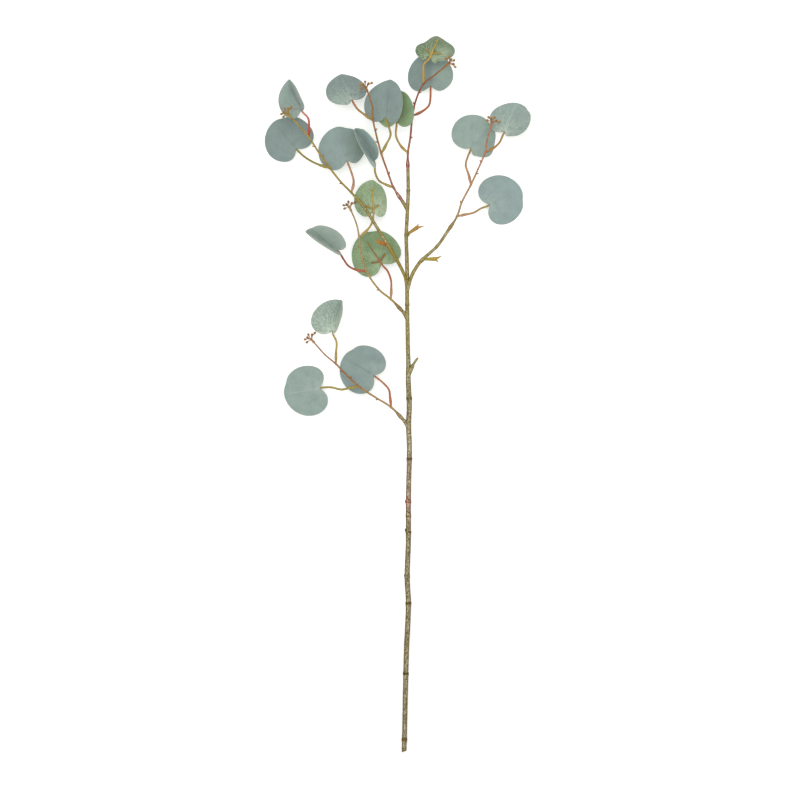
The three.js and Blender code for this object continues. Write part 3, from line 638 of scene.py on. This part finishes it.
def colour_ramp(names, line, shares=None):
    """Colours along a line, from names that stand at even or at given shares of it."""
    colours = np.array([linear(name) for name in names.split()])
    stops = np.linspace(0, 1, len(colours)) if shares is None else shares
    places = np.linspace(0, 1, len(line.samples))
    return np.stack([np.interp(places, stops, column) for column in colours.T], axis=-1)


def paint_rods(mesh, painted_lines, crest, flank_shade, crest_highlight):
    """Paints points like the nearest place on the lines, darker on the flanks as painted shade and lighter
    on the crest as a painted highlight, with bloom on the crest.
    """
    spots = np.vstack([line.samples for line, _, _ in painted_lines])
    colours = np.vstack([colours for _, colours, _ in painted_lines])
    blooms_and_highlights = np.concatenate([np.broadcast_to(bloom, len(line.samples)) for line, _, bloom in painted_lines])
    tree = KDTree(len(spots))
    for k, spot in enumerate(spots):
        tree.insert(spot, k)
    tree.balance()
    points = points_of(mesh)
    nearest = [tree.find(point)[1] for point in points]
    offsets = points - spots[nearest]
    lengths = np.maximum(np.linalg.norm(offsets, axis=1), LEAST_OFFSET)
    # Painted shade and highlight: the further up a point faces on its rod, the lighter it is painted. The
    # flanks get painted shade, and the crest gets a painted highlight and all of the bloom.
    rise = smooth(*crest, offsets[:, 2] / lengths)
    shade = np.array(flank_shade) + np.subtract(crest_highlight, flank_shade) * rise[:, None]
    set_colours(mesh, colours[nearest] * shade)
    set_values(mesh, "bloom", blooms_and_highlights[nearest] * rise)


def place_piece(name, mesh, materials, node=None, sharp=SHARP_ANGLE):
    """Puts a finished mesh in the scene, in metres, on the branch."""
    set_points(mesh, points_of(mesh) * MM)
    mesh.polygons.foreach_set("use_smooth", np.ones(len(mesh.polygons), bool))
    mesh.set_sharp_from_angle(angle=math.radians(sharp))
    for material in materials:
        mesh.materials.append(material)
    piece = new_object(name, mesh)
    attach(piece, "root")
    if node:
        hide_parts(node)


class Signal:
    """An output of a shader node. Signals and numbers can be added, taken away and multiplied."""

    def __init__(self, shader, socket):
        self.shader = shader
        self.socket = socket

    def math(self, operation, *others):
        return self.shader.add("Math", 0, dict(enumerate([self, *others])), operation=operation)

    def __add__(self, other):
        return self.math("ADD", other)

    def __sub__(self, other):
        return self.math("SUBTRACT", other)

    def __mul__(self, other):
        return self.math("MULTIPLY", other)

    def span(self, low, high, to_low, to_high):
        inputs = {"Value": self, "From Min": low, "From Max": high, "To Min": to_low, "To Max": to_high}
        return self.shader.add("MapRange", "Result", inputs, interpolation_type="SMOOTHSTEP")


class Shader:
    """A material whose nodes are added one call at a time."""

    # The sockets of a colour mix, which share their names with others of the node.
    MIX_SHARE, MIX_FIRST, MIX_SECOND, MIX_RESULT = 0, 6, 7, 2

    def __init__(self, name, **surface):
        self.material = bpy.data.materials.new(name)
        self.material.use_nodes = True
        self.tree = self.material.node_tree
        self.surface = self.tree.nodes["Principled BSDF"]
        self.set_surface(**surface)

    def set_surface(self, **surface):
        for socket, value in surface.items():
            self.put(self.surface.inputs[socket.replace("_", " ")], value)

    def add(self, kind, output, inputs=None, **settings):
        node = self.tree.nodes.new(f"ShaderNode{kind}")
        for setting, value in settings.items():
            setattr(node, setting, value)
        for socket, value in (inputs or {}).items():
            self.put(node.inputs[socket], value)
        return Signal(self, node.outputs[output])

    def put(self, socket, value):
        if isinstance(value, Signal):
            self.tree.links.new(value.socket, socket)
        else:
            socket.default_value = value

    def noise(self, vector, scale, detail, roughness=0.55):
        inputs = {"Vector": vector, "Scale": scale, "Detail": detail, "Roughness": roughness}
        return self.add("TexNoise", "Fac", inputs)

    def mix(self, share, first, second):
        inputs = {self.MIX_SHARE: share, self.MIX_FIRST: first, self.MIX_SECOND: second}
        return self.add("Mix", self.MIX_RESULT, inputs, data_type="RGBA")

    def attribute(self, name, output):
        return self.add("Attribute", output, attribute_name=name)

    def scaled_tint(self, factor):
        tint = self.attribute("tint", "Color")
        return self.add("VectorMath", "Vector", {0: tint, "Scale": factor}, operation="SCALE")

    def finish(self, colour, roughness, height, distance, strength):
        inputs = {"Height": height, "Distance": distance, "Strength": strength}
        normal = self.add("Bump", "Normal", inputs)
        self.set_surface(Base_Color=colour, Roughness=roughness, Normal=normal)
        return self.material


def rgba(name):
    return (*linear(name), 1.0)


def bark_material(name, stretch, bloom, grain):
    """Moulded bark: painted tint, lengthwise streaks, pale bloom in patches and fine pits; the bloom, kept
    to the crest, is partly a painted highlight.
    """
    shader = Shader(name, Specular_IOR_Level=BARK.shine)
    place = shader.add("TexCoord", "Object")
    streak_place = shader.add("Mapping", "Vector", {"Vector": place, "Scale": stretch})
    streak = shader.noise(streak_place, *BARK.streak)
    patch = shader.noise(place, *BARK.patch)
    pits = shader.noise(place, *BARK.pits)
    streaked = shader.scaled_tint(streak.span(*BARK.streak_tone))
    bloom_share = patch.span(*BARK.patch_bloom) * bloom * streak.span(*BARK.streak_bloom)
    # The bloom attribute keeps the bloom to the crest of each rod, so it is partly a painted highlight.
    coloured = shader.mix(bloom_share * shader.attribute("bloom", "Fac"), streaked, rgba("bloom"))
    height = streak * BARK.streak_height + pits * BARK.pit_height
    roughness = streak.span(*BARK.roughness)
    return shader.finish(coloured, roughness, height, BARK.bump * grain, BARK.bump_strength)


def leaf_veins(shader, sheet):
    """Masks from 0 to 1 of the side veins with their fine mesh, and of the midrib, on the leaf's sheet."""
    along = shader.add("SeparateXYZ", "X", {"Vector": sheet}) * LEAF_SHEET
    off = (shader.add("SeparateXYZ", "Y", {"Vector": sheet}) - SHEET_MIDRIB).math("ABSOLUTE") * LEAF_SHEET
    wander = shader.noise(sheet, *PRINT.wander)
    course = along - off * VEIN.slope + off * off * VEIN.bend + wander * PRINT.wander_along
    feather = course.math("PINGPONG", VEIN.spacing / 2).span(*PRINT.feather)
    ahead = along + PRINT.fan_back
    reach = (off * off + ahead * ahead).math("SQRT")
    bearing = off.math("ARCTAN2", ahead) + wander * PRINT.wander_turn
    fan = (bearing.math("PINGPONG", PRINT.fan_step / 2) * reach).span(*PRINT.fan)
    cells = {"Vector": sheet, "Scale": PRINT.cells}
    mesh = shader.add("TexVoronoi", "Distance", cells, feature="DISTANCE_TO_EDGE").span(*PRINT.cell_lines)
    gaps = shader.noise(sheet, *PRINT.gaps).span(*PRINT.gap_lines)
    fan = fan * reach.span(*PRINT.fan_fade)
    feather = feather * reach.span(*PRINT.feather_fade)
    side_veins = fan.math("MAXIMUM", feather).math("MAXIMUM", mesh) * gaps
    return side_veins, off.span(*PRINT.midrib) * along.span(*PRINT.midrib_fade)


def leaf_material(name, vein_colour, mottle, vein_gain):
    """Printed cloth: painted tint, soft mottling, thread grain and embossed veins, with a faint painted
    shade line along the midrib crease of faintly veined leaves.
    """
    sheen = dict(Sheen_Weight=CLOTH.sheen, Sheen_Roughness=CLOTH.sheen_roughness)
    shader = Shader(name, Specular_IOR_Level=CLOTH.shine, **sheen)
    sheet = shader.add("UVMap", "UV", uv_map="leaf")
    side_veins, midrib = leaf_veins(shader, sheet)
    cloud, speck, grain = [shader.noise(sheet, *kind) for kind in (CLOTH.cloud, CLOTH.speck, CLOTH.grain)]
    strength = shader.attribute("vein", "Fac")
    tone = cloud.span(*CLOTH.cloud_ends, 1 - mottle, 1 + mottle)
    tone = tone + speck.span(*CLOTH.speck_ends, -mottle, mottle) + grain.span(*CLOTH.grain_tone)
    # Painted shade: faintly veined leaves are darkened along the midrib crease.
    toned = shader.scaled_tint(tone - midrib * strength.span(*CLOTH.crease))
    bright_rib = midrib * strength.span(*CLOTH.bright_rib)
    mask = side_veins.math("MAXIMUM", bright_rib) * strength
    veined = shader.mix(mask * vein_gain, toned, rgba(vein_colour))
    height = grain * CLOTH.grain_height + speck * CLOTH.speck_height + mask * CLOTH.vein_height
    return shader.finish(veined, speck.span(*CLOTH.roughness), height, *CLOTH.bump)


def smooth_material(name, roughness):
    """Smooth moulding in the painted tint, with faint clouding."""
    shader = Shader(name, Specular_IOR_Level=SKIN.shine)
    place = shader.add("TexCoord", "Object")
    cloud = shader.noise(place, *SKIN.cloud)
    pits = shader.noise(place, *SKIN.pits)
    clouded = shader.scaled_tint(cloud.span(*SKIN.cloud_tone))
    pitted = pits.span(*SKIN.pit_ends, roughness, roughness + SKIN.roughness_span)
    return shader.finish(clouded, pitted, pits, *SKIN.bump)


STEM_BARK = bark_material("stem_bark", stretch=(1.0, 0.55, 1.0), bloom=1.0, grain=1.0)
TWIG_BARK = bark_material("twig_bark", stretch=(1.0, 0.5, 1.0), bloom=0.8, grain=0.6)
STALK_SKIN = smooth_material("stalk_skin", roughness=0.4)
BUD_SKIN = smooth_material("bud_skin", roughness=0.45)
BRACT_SKIN = smooth_material("bract_skin", roughness=0.45)
GLUE_SKIN = smooth_material("glue_skin", roughness=0.25)
LEAF_FRONT = leaf_material("leaf_front", "pale_vein", mottle=0.055, vein_gain=0.8)
LEAF_REAR = leaf_material("leaf_rear", "green_vein", mottle=0.085, vein_gain=0.9)
LEAF_RIM = smooth_material("leaf_rim", roughness=0.6)


def sleeve_stations(sizes, end, kind):
    """Stations of a moulded rod: a sleeve with an open mouth, a spindle bulge, then the slim shaft."""
    start, mouth, bulge = sizes.start, sizes.mouth, sizes.bulge
    bore = mouth - SLEEVE.wall
    stations = [(start + SLEEVE.bore, bore), (start + SLEEVE.lip, bore), (start, mouth - SLEEVE.bevel)]
    for distance in spaced(start + SLEEVE.bevel, end, kind):
        shaft = between(sizes.shaft, (distance - start) / (end - start))
        swollen = mouth + (sizes.sleeve - mouth) * smooth(start, start + bulge, distance)
        fall = smooth(start + bulge * SLEEVE.fall, start + sizes.sleeve_end, distance)
        stations.append((distance, swollen + (shaft - swollen) * fall))
    return stations


def stem_height(y):
    return np.interp(y, [STEM_TOP.y, STEM_FOOT.y], [STEM_TOP.height, STEM_FOOT.height])


def trunk_radius(y):
    radius = between(STEM_RADII[::-1], y)
    for ring, strength in STEM_RINGS.items():
        swell = RING.least + (1 - RING.least) * strength
        radius += RING.swell * swell * np.exp(-((y - ring) / RING.half) ** 2)
        radius -= RING.groove * strength * np.exp(-((y - ring + RING.half) / RING.groove_half) ** 2)
    return radius


def bark_relief(distance, angle):
    ridges = sum(
        ridge.height * np.sin(ridge.round * angle + ridge.along * distance + ridge.phase)
        for ridge in RIDGES
    )
    first, second = KNOTS.along
    knots = np.sin(first * distance + KNOTS.round * angle) * np.sin(second * distance + KNOTS.phase)
    return ridges + KNOTS.height * knots


def stem_paint(line):
    """Tints and bloom along the trunk: browner at the foot, greener above, dark rings and red scars. The
    bloom, later kept to the crest, is partly a painted highlight.
    """
    y = sheet_y(line.samples)
    places = [place for place, _, _ in STEM_STOPS]
    rows = np.array([(*linear(name), bloom) for _, name, bloom in STEM_STOPS])
    painted = np.stack([np.interp(y, places, column) for column in rows.T], axis=-1)
    marks = [(place, RING.line, strength, "ring", 0) for place, strength in STEM_RINGS.items()]
    marks += [(*scar, "scar", SCAR_BLOOM_AND_HIGHLIGHT) for scar in STEM_SCARS]
    for place, half, strength, name, bloom in marks:
        shares = strength * np.exp(-((y - place) / half) ** 4)
        painted = blend(painted, np.array([*linear(name), bloom]), shares)
    return painted[:, :3], painted[:, 3]


def make_limb(limb, ends, kind, relief=None):
    """The solid of an arm or the spike, and the line with its paint."""
    line, solid = rod([*map(at, limb.line), *ends], limb.radii, kind, relief)
    return solid, (line, colour_ramp(limb.colours, line), between(limb.bloom, line.shares))


def make_stem(twigs):
    line = [at((x, y, stem_height(y))) for x, y in STEM_LINE]
    trunk = Line([*line, twigs["top"].point(0), twigs["top"].point(STUB_SHOULDER)])
    distances = spaced(0, trunk.length, "trunk")
    stations = np.column_stack([distances, trunk_radius(sheet_y(trunk.point(distances)))])
    parts = [(tube(trunk, stations, "trunk", bark_relief), (trunk, *stem_paint(trunk)))]
    for name, arm in ARMS.items():
        parts.append(make_limb(arm, [twigs[name].point(STUB_SHOULDER)], "arm", bark_relief))
    for name, twig in twigs.items():
        if SPRAYS[name].stub:
            places = [at(SPRAYS[name].stub), twig.point(0), twig.point(STUB_SHOULDER)]
            stub, solid = rod(places, STUB_RADII, "stub")
            parts.append((solid, (stub, *stem_paint(stub))))
        parts.append((peg(twig, STUB_SHOULDER, PEG.stem, "stem_peg"), None))
    parts.append(make_limb(SPIKE, [], "spike"))
    for place, radius in STEM_BUMPS:
        parts.append((ball(at(place), (radius, radius * BUMP_STRETCH, radius), np.eye(3)), None))
    mesh = joined("main_stem", [solid for solid, _ in parts])
    paint_rods(mesh, [painted for _, painted in parts if painted], **STEM_PAINTED_LIGHT)
    cut_foot(mesh)
    place_piece("stem_wood", mesh, [STEM_BARK], "main_stem")


def cut_foot(mesh):
    """Flattens the foot of the stem to its slanted cut."""
    points = points_of(mesh)
    middle = at((FOOT_CUT.x, FOOT_CUT.y, 0))
    plane = middle[1] + math.tan(math.radians(FOOT_CUT.slant)) * (points[:, 0] - middle[0])
    below = points[:, 1] < plane
    points[below, 1] = plane[below]
    set_points(mesh, points)


def nub_solid(twig, distance, turn):
    foot = twig.point(distance)
    heading = twig.tangent(distance)
    c, s = cos_sin(turn)
    aside = np.array([c * heading[0] - s * heading[1], s * heading[0] + c * heading[1], heading[2]])
    bend = foot + aside * NUB.length * NUB.bend
    return rod([foot, bend, foot + aside * NUB.length + heading * NUB.sweep], NUB.radii, "nub")[1]


def make_twig(name, spray, twig, stalks):
    first, second, third = twig.knots[JOINTS]

    def knuckles(distance, angle):
        swell = sum(
            KNUCKLE.swell * np.exp(-((distance - joint) / KNUCKLE.half) ** 2)
            for joint in (first, second, third)
        )
        grain = KNUCKLE.grain * np.sin(KNUCKLE.round * angle + KNUCKLE.along * distance)
        return swell + grain * smooth(*KNUCKLE.clear, distance)

    solids = [tube(twig, sleeve_stations(TWIG, twig.length, "twig"), "twig", knuckles)]
    shares = NUB.shares
    places = [first + (second - first) * shares[0]]
    places += [second + (third - second) * share for share in shares[1:]]
    for k, place in enumerate(places):
        turn = spray.nub_side * (-NUB.angle if k % 2 else NUB.angle)
        solids.append(nub_solid(twig, place, turn))
    solids += [peg(stalk, STALK.start, PEG.twig, "twig_peg") for stalk in stalks]
    mesh = joined(f"twig_{name}", solids)
    bloom = spray.bloom * smooth(*TWIG.bloom_ends, twig.distances)
    paint_rods(mesh, [(twig, colour_ramp(spray.twig, twig, TWIG_SHARES), bloom)], **TWIG_PAINTED_LIGHT)
    place_piece(f"twig_wood_{name}", mesh, [TWIG_BARK], f"twig_{name}")


class Blade:
    """A leaf blade. A place on it is u along the midrib, v to the left and a lift off its surface."""

    def __init__(self, leaf, seed):
        self.foot = at(leaf.notch)
        along = at(leaf.tip) - self.foot
        self.length = float(np.linalg.norm(along))
        self.along = along / self.length
        self.left = unit(np.cross([0, 0, 1], self.along))
        self.up = np.cross(self.along, self.left)
        self.lean = np.radians(leaf.lean)
        self.bow = leaf.bow
        self.point = leaf.point
        self.swells = leaf.swells
        self.lobes = np.radians(leaf.lobes)
        self.rib_side = 1 if leaf.back else -1
        draw = np.random.default_rng(seed)
        self.waves = [
            (draw.uniform(*RIPPLE.pace), draw.uniform(0, math.tau), draw.uniform(0, math.tau))
            for _ in range(RIPPLE.waves)
        ]

    def edge(self, theta):
        """Reach of the edge from the notch in a direction, with the lobes, the dent or the point."""
        turn = theta / np.where(theta > 0, *self.lobes) * math.pi / 2
        lobes = np.maximum(0, np.cos(turn)) ** LOBE_POWER
        degrees = np.degrees(theta)
        reach = self.length * lobes * (1 - SIDE_PINCH * np.sin(theta) ** 2)
        dent = 0 if self.point else DENT.depth * np.exp(-((degrees - DENT.angle) / DENT.half) ** 2)
        peak = self.point * np.exp(-np.abs(degrees) / POINT_HALF)
        swell = sum(size * np.exp(-((degrees - angle) / half) ** 2) for angle, size, half in self.swells)
        return reach * (1 - dent + peak + swell)

    def ripple(self, u, v):
        wave = sum(
            np.sin(pace * (u * math.cos(turn) + v * math.sin(turn)) + phase)
            for pace, turn, phase in self.waves
        )
        calm = smooth(*RIPPLE.calm, np.hypot(v, (u - RIB.hub) * RIPPLE.squeeze))
        return RIPPLE.height * wave / RIPPLE.crest * calm

    def relief(self, u, v):
        off = np.abs(v)
        course = u - VEIN.slope * off + VEIN.bend * off ** 2
        phase = (course / VEIN.spacing + 0.5) % 1 - 0.5
        side_veins = np.exp(-(phase * VEIN.spacing / VEIN.width) ** 2) * smooth(*VEIN.fade, off)
        midrib = np.exp(-(v / VEIN.midrib_half) ** 2)
        return self.rib_side * (VEIN.height * side_veins + VEIN.midrib * midrib)

    def shape(self, u, v):
        return self.ripple(u, v) + self.relief(u, v)

    def surface(self, u, v):
        u, v = np.asarray(u, float), np.asarray(v, float)
        angle = np.where(v > 0, *self.lean)
        fold = np.sin(angle) * (np.hypot(v, BLADE.fold) - BLADE.fold)
        arch = 4 * self.bow * (u / self.length) * (1 - u / self.length)
        return (self.foot + u[..., None] * self.along + (v * np.cos(angle))[..., None] * self.left
                + (fold + arch)[..., None] * self.up)

    def slopes(self, u, v, step):
        """Steps over the surface, one along the midrib and one across it."""
        return (self.surface(u + step, v) - self.surface(u - step, v),
                self.surface(u, v + step) - self.surface(u, v - step))

    def place(self, u, v, lift):
        normal = np.cross(*self.slopes(u, v, BLADE.normal_step))
        return self.surface(u, v) + unit(normal) * np.asarray(lift, float)[..., None]

    def rib(self, u, v, share=1.0, radius=RIB.root):
        """A place off the ribbed side, by a share of the ribs' gap and a radius. It follows the ripples."""
        lift = self.rib_side * (BLADE.layer / 2 + RIB.gap * share + radius)
        return self.place(u, v, self.ripple(u, v) + lift)


# Kinds of a leaf's faces.
UPPER, LOWER, RIM = range(3)


def make_leaf(label, leaf, blade):
    """An embossed sheet with a front, a rear and a rounded rim."""
    shares = np.linspace(0, 1, LEAF_RINGS + 1)[1:, None]
    theta = np.linspace(-blade.lobes[1], blade.lobes[0], LEAF_SPOKES, endpoint=False)
    reach = blade.edge(theta)
    centre = BLADE.centre * blade.length
    u = centre + shares * (reach * np.cos(theta) - centre)
    v = shares * (reach * np.sin(theta))
    half = BLADE.thickness / 2
    shape = blade.shape(u, v)
    outward = (reach + BLADE.rim) / np.maximum(reach, BLADE.least_reach)
    rim_u, rim_v = reach * np.cos(theta) * outward, reach * np.sin(theta) * outward
    top = blade.place(u, v, shape + half).reshape(-1, 3)
    low = blade.place(u, v, shape - half).reshape(-1, 3)
    rim = blade.place(rim_u, rim_v, shape[-1])
    poles = [blade.place(centre, 0.0, blade.shape(centre, 0.0) + side * half) for side in (1, -1)]
    points = np.vstack([top, low, rim, poles])
    points[:, 2] = np.maximum(points[:, 2], TABLE_CLEARANCE)
    faces, kinds = leaf_faces()
    mesh = mesh_of(f"leaf_{label}", Solid(points, faces))
    skins = [LEAF_FRONT, LEAF_REAR, LEAF_RIM]
    worn = [LEAF_REAR, LEAF_FRONT, LEAF_RIM] if leaf.back else skins
    slots = np.array([skins.index(skin) for skin in worn], np.int32)
    mesh.polygons.foreach_set("material_index", slots[kinds])
    flat_u = np.concatenate([u.ravel(), u.ravel(), rim_u, [centre, centre]])
    flat_v = np.concatenate([v.ravel(), v.ravel(), rim_v, [0, 0]])
    add_leaf_sheet(mesh, flat_u, flat_v)
    tint_leaf(mesh, leaf, flat_u, flat_v, blade.length)
    place_piece(f"leaf_cloth_{label}", mesh, skins, f"leaf_{label}", SHARP_LEAF_ANGLE)


def leaf_faces():
    """Faces of the two sides and the rim, with the kind of each."""
    faces, kinds = [], []
    count = LEAF_RINGS * LEAF_SPOKES
    rim = 2 * count
    outer = count - LEAF_SPOKES
    for j in range(LEAF_SPOKES):
        after = (j + 1) % LEAF_SPOKES
        faces += [(j, after, rim + LEAF_SPOKES), (count + after, count + j, rim + LEAF_SPOKES + 1)]
        kinds += [UPPER, LOWER]
        for k in range(LEAF_RINGS - 1):
            a, b = k * LEAF_SPOKES + j, k * LEAF_SPOKES + after
            faces.append((a, a + LEAF_SPOKES, b + LEAF_SPOKES, b))
            faces.append((count + a, count + b, count + b + LEAF_SPOKES, count + a + LEAF_SPOKES))
            kinds += [UPPER, LOWER]
        faces.append((outer + j, rim + j, rim + after, outer + after))
        faces.append((rim + j, count + outer + j, count + outer + after, rim + after))
        kinds += [RIM, RIM]
    return faces, kinds


def add_leaf_sheet(mesh, u, v):
    layer = mesh.uv_layers.new(name="leaf")
    corners = np.empty(len(mesh.loops), np.int32)
    mesh.loops.foreach_get("vertex_index", corners)
    sheet = np.column_stack([u / LEAF_SHEET, SHEET_MIDRIB + v / LEAF_SHEET])[corners]
    layer.data.foreach_set("uv", sheet.astype(np.float32).ravel())


def tint_leaf(mesh, leaf, u, v, length):
    """Paints the two sides, the rim, and the washes and stripes of the upper side, many of them painted
    shade, painted shadow and painted light.
    """
    looks = [(linear(leaf.front), leaf.vein), (linear(leaf.rear), leaf.rear_vein)]
    (upper, upper_vein), (lower, lower_vein) = looks[::-1] if leaf.back else looks
    colours = np.tile(upper * leaf.tone, (len(u), 1))
    for name, spot_u, spot_v, size, strength in leaf.washes:
        away = (u - spot_u) ** 2 + (v - spot_v) ** 2
        colours = blend(colours, linear(name), strength * np.exp(-away / size ** 2))
    for name, turn, half, strength in leaf.stripes:
        c, s = cos_sin(turn)
        ahead, aside = u * c + v * s, v * c - u * s
        ends = smooth(*STRIPE.start, ahead) * smooth(*STRIPE.end, ahead / length)
        colours = blend(colours, linear(name), strength * np.exp(-(aside / half) ** 2) * ends)
    count = LEAF_RINGS * LEAF_SPOKES
    lower_points = np.r_[count:2 * count, len(u) - 1]
    colours[lower_points] = lower
    colours[2 * count:2 * count + LEAF_SPOKES] = linear("rim")
    set_colours(mesh, colours)
    veins = np.full(len(u), upper_vein)
    veins[lower_points] = lower_vein
    set_values(mesh, "vein", veins)


def stalk_line(joint, leaf, blade):
    hub, end = RIB.hub, RIB.reach * blade.length
    ribs = [blade.rib(u, 0) for u in (-STALK.neck, hub, (hub + end) / 2, end)]
    return Line([joint, *map(at, leaf.bends), *ribs])


def make_stalk(label, leaf, blade, line):
    hub = line.knots[HUB_KNOT]
    stations = sleeve_stations(STALK, hub, "stalk")
    for distance in spaced(hub, line.length, "stalk")[1:]:
        stations.append((distance, np.interp(distance, [hub, line.length], [RIB.root, RIB.end])))
    solids = [tube(line, stations, "stalk")]
    for side in (-1, 1):
        c, s = cos_sin(side * RIB.side_angle)
        reaches = np.linspace(0, RIB.side_length, 3)
        places = [blade.rib(RIB.hub + reach * c, reach * s) for reach in reaches]
        solids.append(rod(places, [(0, RIB.root), (1, RIB.end)], "rib")[1])
    mesh = joined(f"stalk_{label}", solids)
    paint_rods(mesh, [(line, colour_ramp(leaf.stalk, line), 0.0)], **STALK_PAINTED_LIGHT)
    place_piece(f"stalk_skin_{label}", mesh, [STALK_SKIN], f"stalk_{label}")


def make_glue(label, blade):
    """Blobs of glue between the ribs and the blade."""
    c, s = cos_sin(RIB.side_angle)
    reach = RIB.side_length * GLUE.reach
    hub_size, tip_size, side_size = GLUE.sizes
    spots = [
        (RIB.hub, 0.0, hub_size), (RIB.reach * blade.length * GLUE.tip, GLUE.tip_side, tip_size),
        (RIB.hub + reach * c, reach * s, side_size), (RIB.hub + reach * c, -reach * s, side_size),
    ]
    solids = []
    for u, v, size in spots:
        ahead, aside = blade.slopes(u, v, GLUE.step)
        ahead = unit(ahead)
        aside = unit(aside - ahead * aside.dot(ahead))
        halves = (size * GLUE.stretch, size, GLUE.half)
        middle = blade.rib(u, v, share=0.5, radius=0)
        solids.append(ball(middle, halves, [ahead, aside, np.cross(ahead, aside)]))
    mesh = joined(f"glue_{label}", solids)
    set_colours(mesh, np.tile(linear("glue"), (len(mesh.vertices), 1)))
    place_piece(f"glue_{label}", mesh, [GLUE_SKIN])


def make_buds(name, spray, twig):
    """A calyx on the twig's tip with a fan of stalked buds."""
    tip, heading = twig.point(twig.length), twig.tangent(twig.length)
    calyx = Line([tip - heading * CALYX.back, tip + heading * CALYX.ahead])
    solids = [tube(calyx, [(CALYX.back + d, r) for d, r in CALYX.profile], "calyx")]
    flat = math.degrees(math.atan2(heading[1], heading[0]))
    foot = tip + heading * BUD.foot
    for turn, climb, length in BUD_FAN:
        (c, s), (level, rise) = cos_sin(flat + turn), cos_sin(climb)
        way = np.array([c * level, s * level, rise])
        bend = foot + (way * BUD.own_way + heading * BUD.twig_way) * length * BUD.bend
        line = Line([foot, bend, tip + way * length])
        start = line.length - BUD_PROFILE[-1][0]
        stations = [(0, BUD.stem + BUD.flare)]
        stations += [(d, BUD.stem) for d in spaced(BUD.stem_start, start - BUD.stem_gap, "bud")]
        stations += [(start + d, r) for d, r in BUD_PROFILE]
        solids.append(tube(line, stations, "bud"))
    mesh = joined(f"buds_{name}", solids)
    out = smooth(*BUD.fade, np.linalg.norm(points_of(mesh) - tip, axis=1))
    set_colours(mesh, blend(linear(spray.twig.split()[-1]), linear(spray.buds), out))
    place_piece(f"bud_cluster_{name}", mesh, [BUD_SKIN], f"buds_{name}")


def make_bract(name, bract):
    """A short sheath that splits in two teeth."""
    foot, fork = at(bract.foot), at(bract.fork)
    sheath = Line([foot, fork])
    distances = spaced(BRACT.start, sheath.length + BRACT.past, "sheath")
    stations = np.column_stack([distances, between(BRACT.radii, distances / sheath.length)])
    solids = [tube(sheath, stations, "sheath")]
    root = sheath.point(sheath.length - BRACT.root)
    for prong in map(at, bract.prongs):
        places = [root, fork + (prong - fork) * BRACT.bend, prong]
        solids.append(rod(places, BRACT.prong_radii, "prong")[1])
    mesh = joined(f"bract_{name}", solids)
    out = np.linalg.norm(points_of(mesh) - foot, axis=1) / (sheath.length + BRACT.fade)
    low, high = map(linear, bract.colours)
    set_colours(mesh, blend(low, high, smooth(0, 1, out)))
    place_piece(f"bract_sheath_{name}", mesh, [BRACT_SKIN], f"bract_{name}")


def make_branch():
    twigs = {name: Line([at(place) for place in spray.route]) for name, spray in SPRAYS.items()}
    make_stem(twigs)
    for name, bract in BRACTS.items():
        make_bract(name, bract)
    for s, (name, spray) in enumerate(SPRAYS.items()):
        twig = twigs[name]
        stalks = []
        for k, joint in enumerate(twig.knots[JOINTS]):
            label = f"{name}_{k + 1}"
            leaf = Values(**{**PLAIN_LEAF, **LEAVES[label]})
            blade = Blade(leaf, seed=SEED_STEP * s + k)
            line = stalk_line(twig.point(joint), leaf, blade)
            stalks.append(line)
            make_leaf(label, leaf, blade)
            make_stalk(label, leaf, blade, line)
            make_glue(label, blade)
        make_twig(name, spray, twig, stalks)
        make_buds(name, spray, twig)


def make_floor():
    half, rise = FLOOR.half, FLOOR.rise
    mesh = bpy.data.meshes.new("floor")
    corners = [(-half, -half, rise), (half, -half, rise), (half, half, rise), (-half, half, rise)]
    mesh.from_pydata(corners, [], [(0, 1, 2, 3)])
    shader = Shader("floor_paper", Roughness=FLOOR.roughness, Specular_IOR_Level=FLOOR.shine)
    shader.set_surface(Base_Color=FLOOR.colour, Emission_Color=WHITE, Emission_Strength=FLOOR.glow)
    mesh.materials.append(shader.material)
    new_object("floor", mesh)


def make_light(name, sizes):
    data = bpy.data.lights.new(name, "AREA")
    data.size = sizes.size
    data.energy = sizes.power
    lamp = new_object(name, data)
    lamp.location = sizes.place
    lamp.rotation_euler = (-Vector(sizes.place)).to_track_quat("-Z", "Y").to_euler()
    lamp.visible_camera = False


def make_world():
    world = bpy.data.worlds.new("sky")
    world.use_nodes = True
    sky = world.node_tree.nodes["Background"]
    sky.inputs["Color"].default_value = WHITE
    sky.inputs["Strength"].default_value = SKY_STRENGTH
    bpy.context.scene.world = world
    bpy.context.scene.view_settings.view_transform = "Standard"


def make_camera():
    """Looks straight down, so that the sheet fills the picture at the branch's own height."""
    data = bpy.data.cameras.new("camera")
    data.lens = CAMERA.lens
    data.sensor_width = CAMERA.sensor
    camera = new_object("camera", data)
    distance = CAMERA.frame * CAMERA.lens / CAMERA.sensor
    camera.location = at((*CAMERA.middle, CAMERA.height + distance)) * MM
    bpy.context.scene.camera = camera


make_camera()
make_world()
make_light("key", KEY_LIGHT)
make_light("fill", FILL_LIGHT)
make_floor()
make_branch()
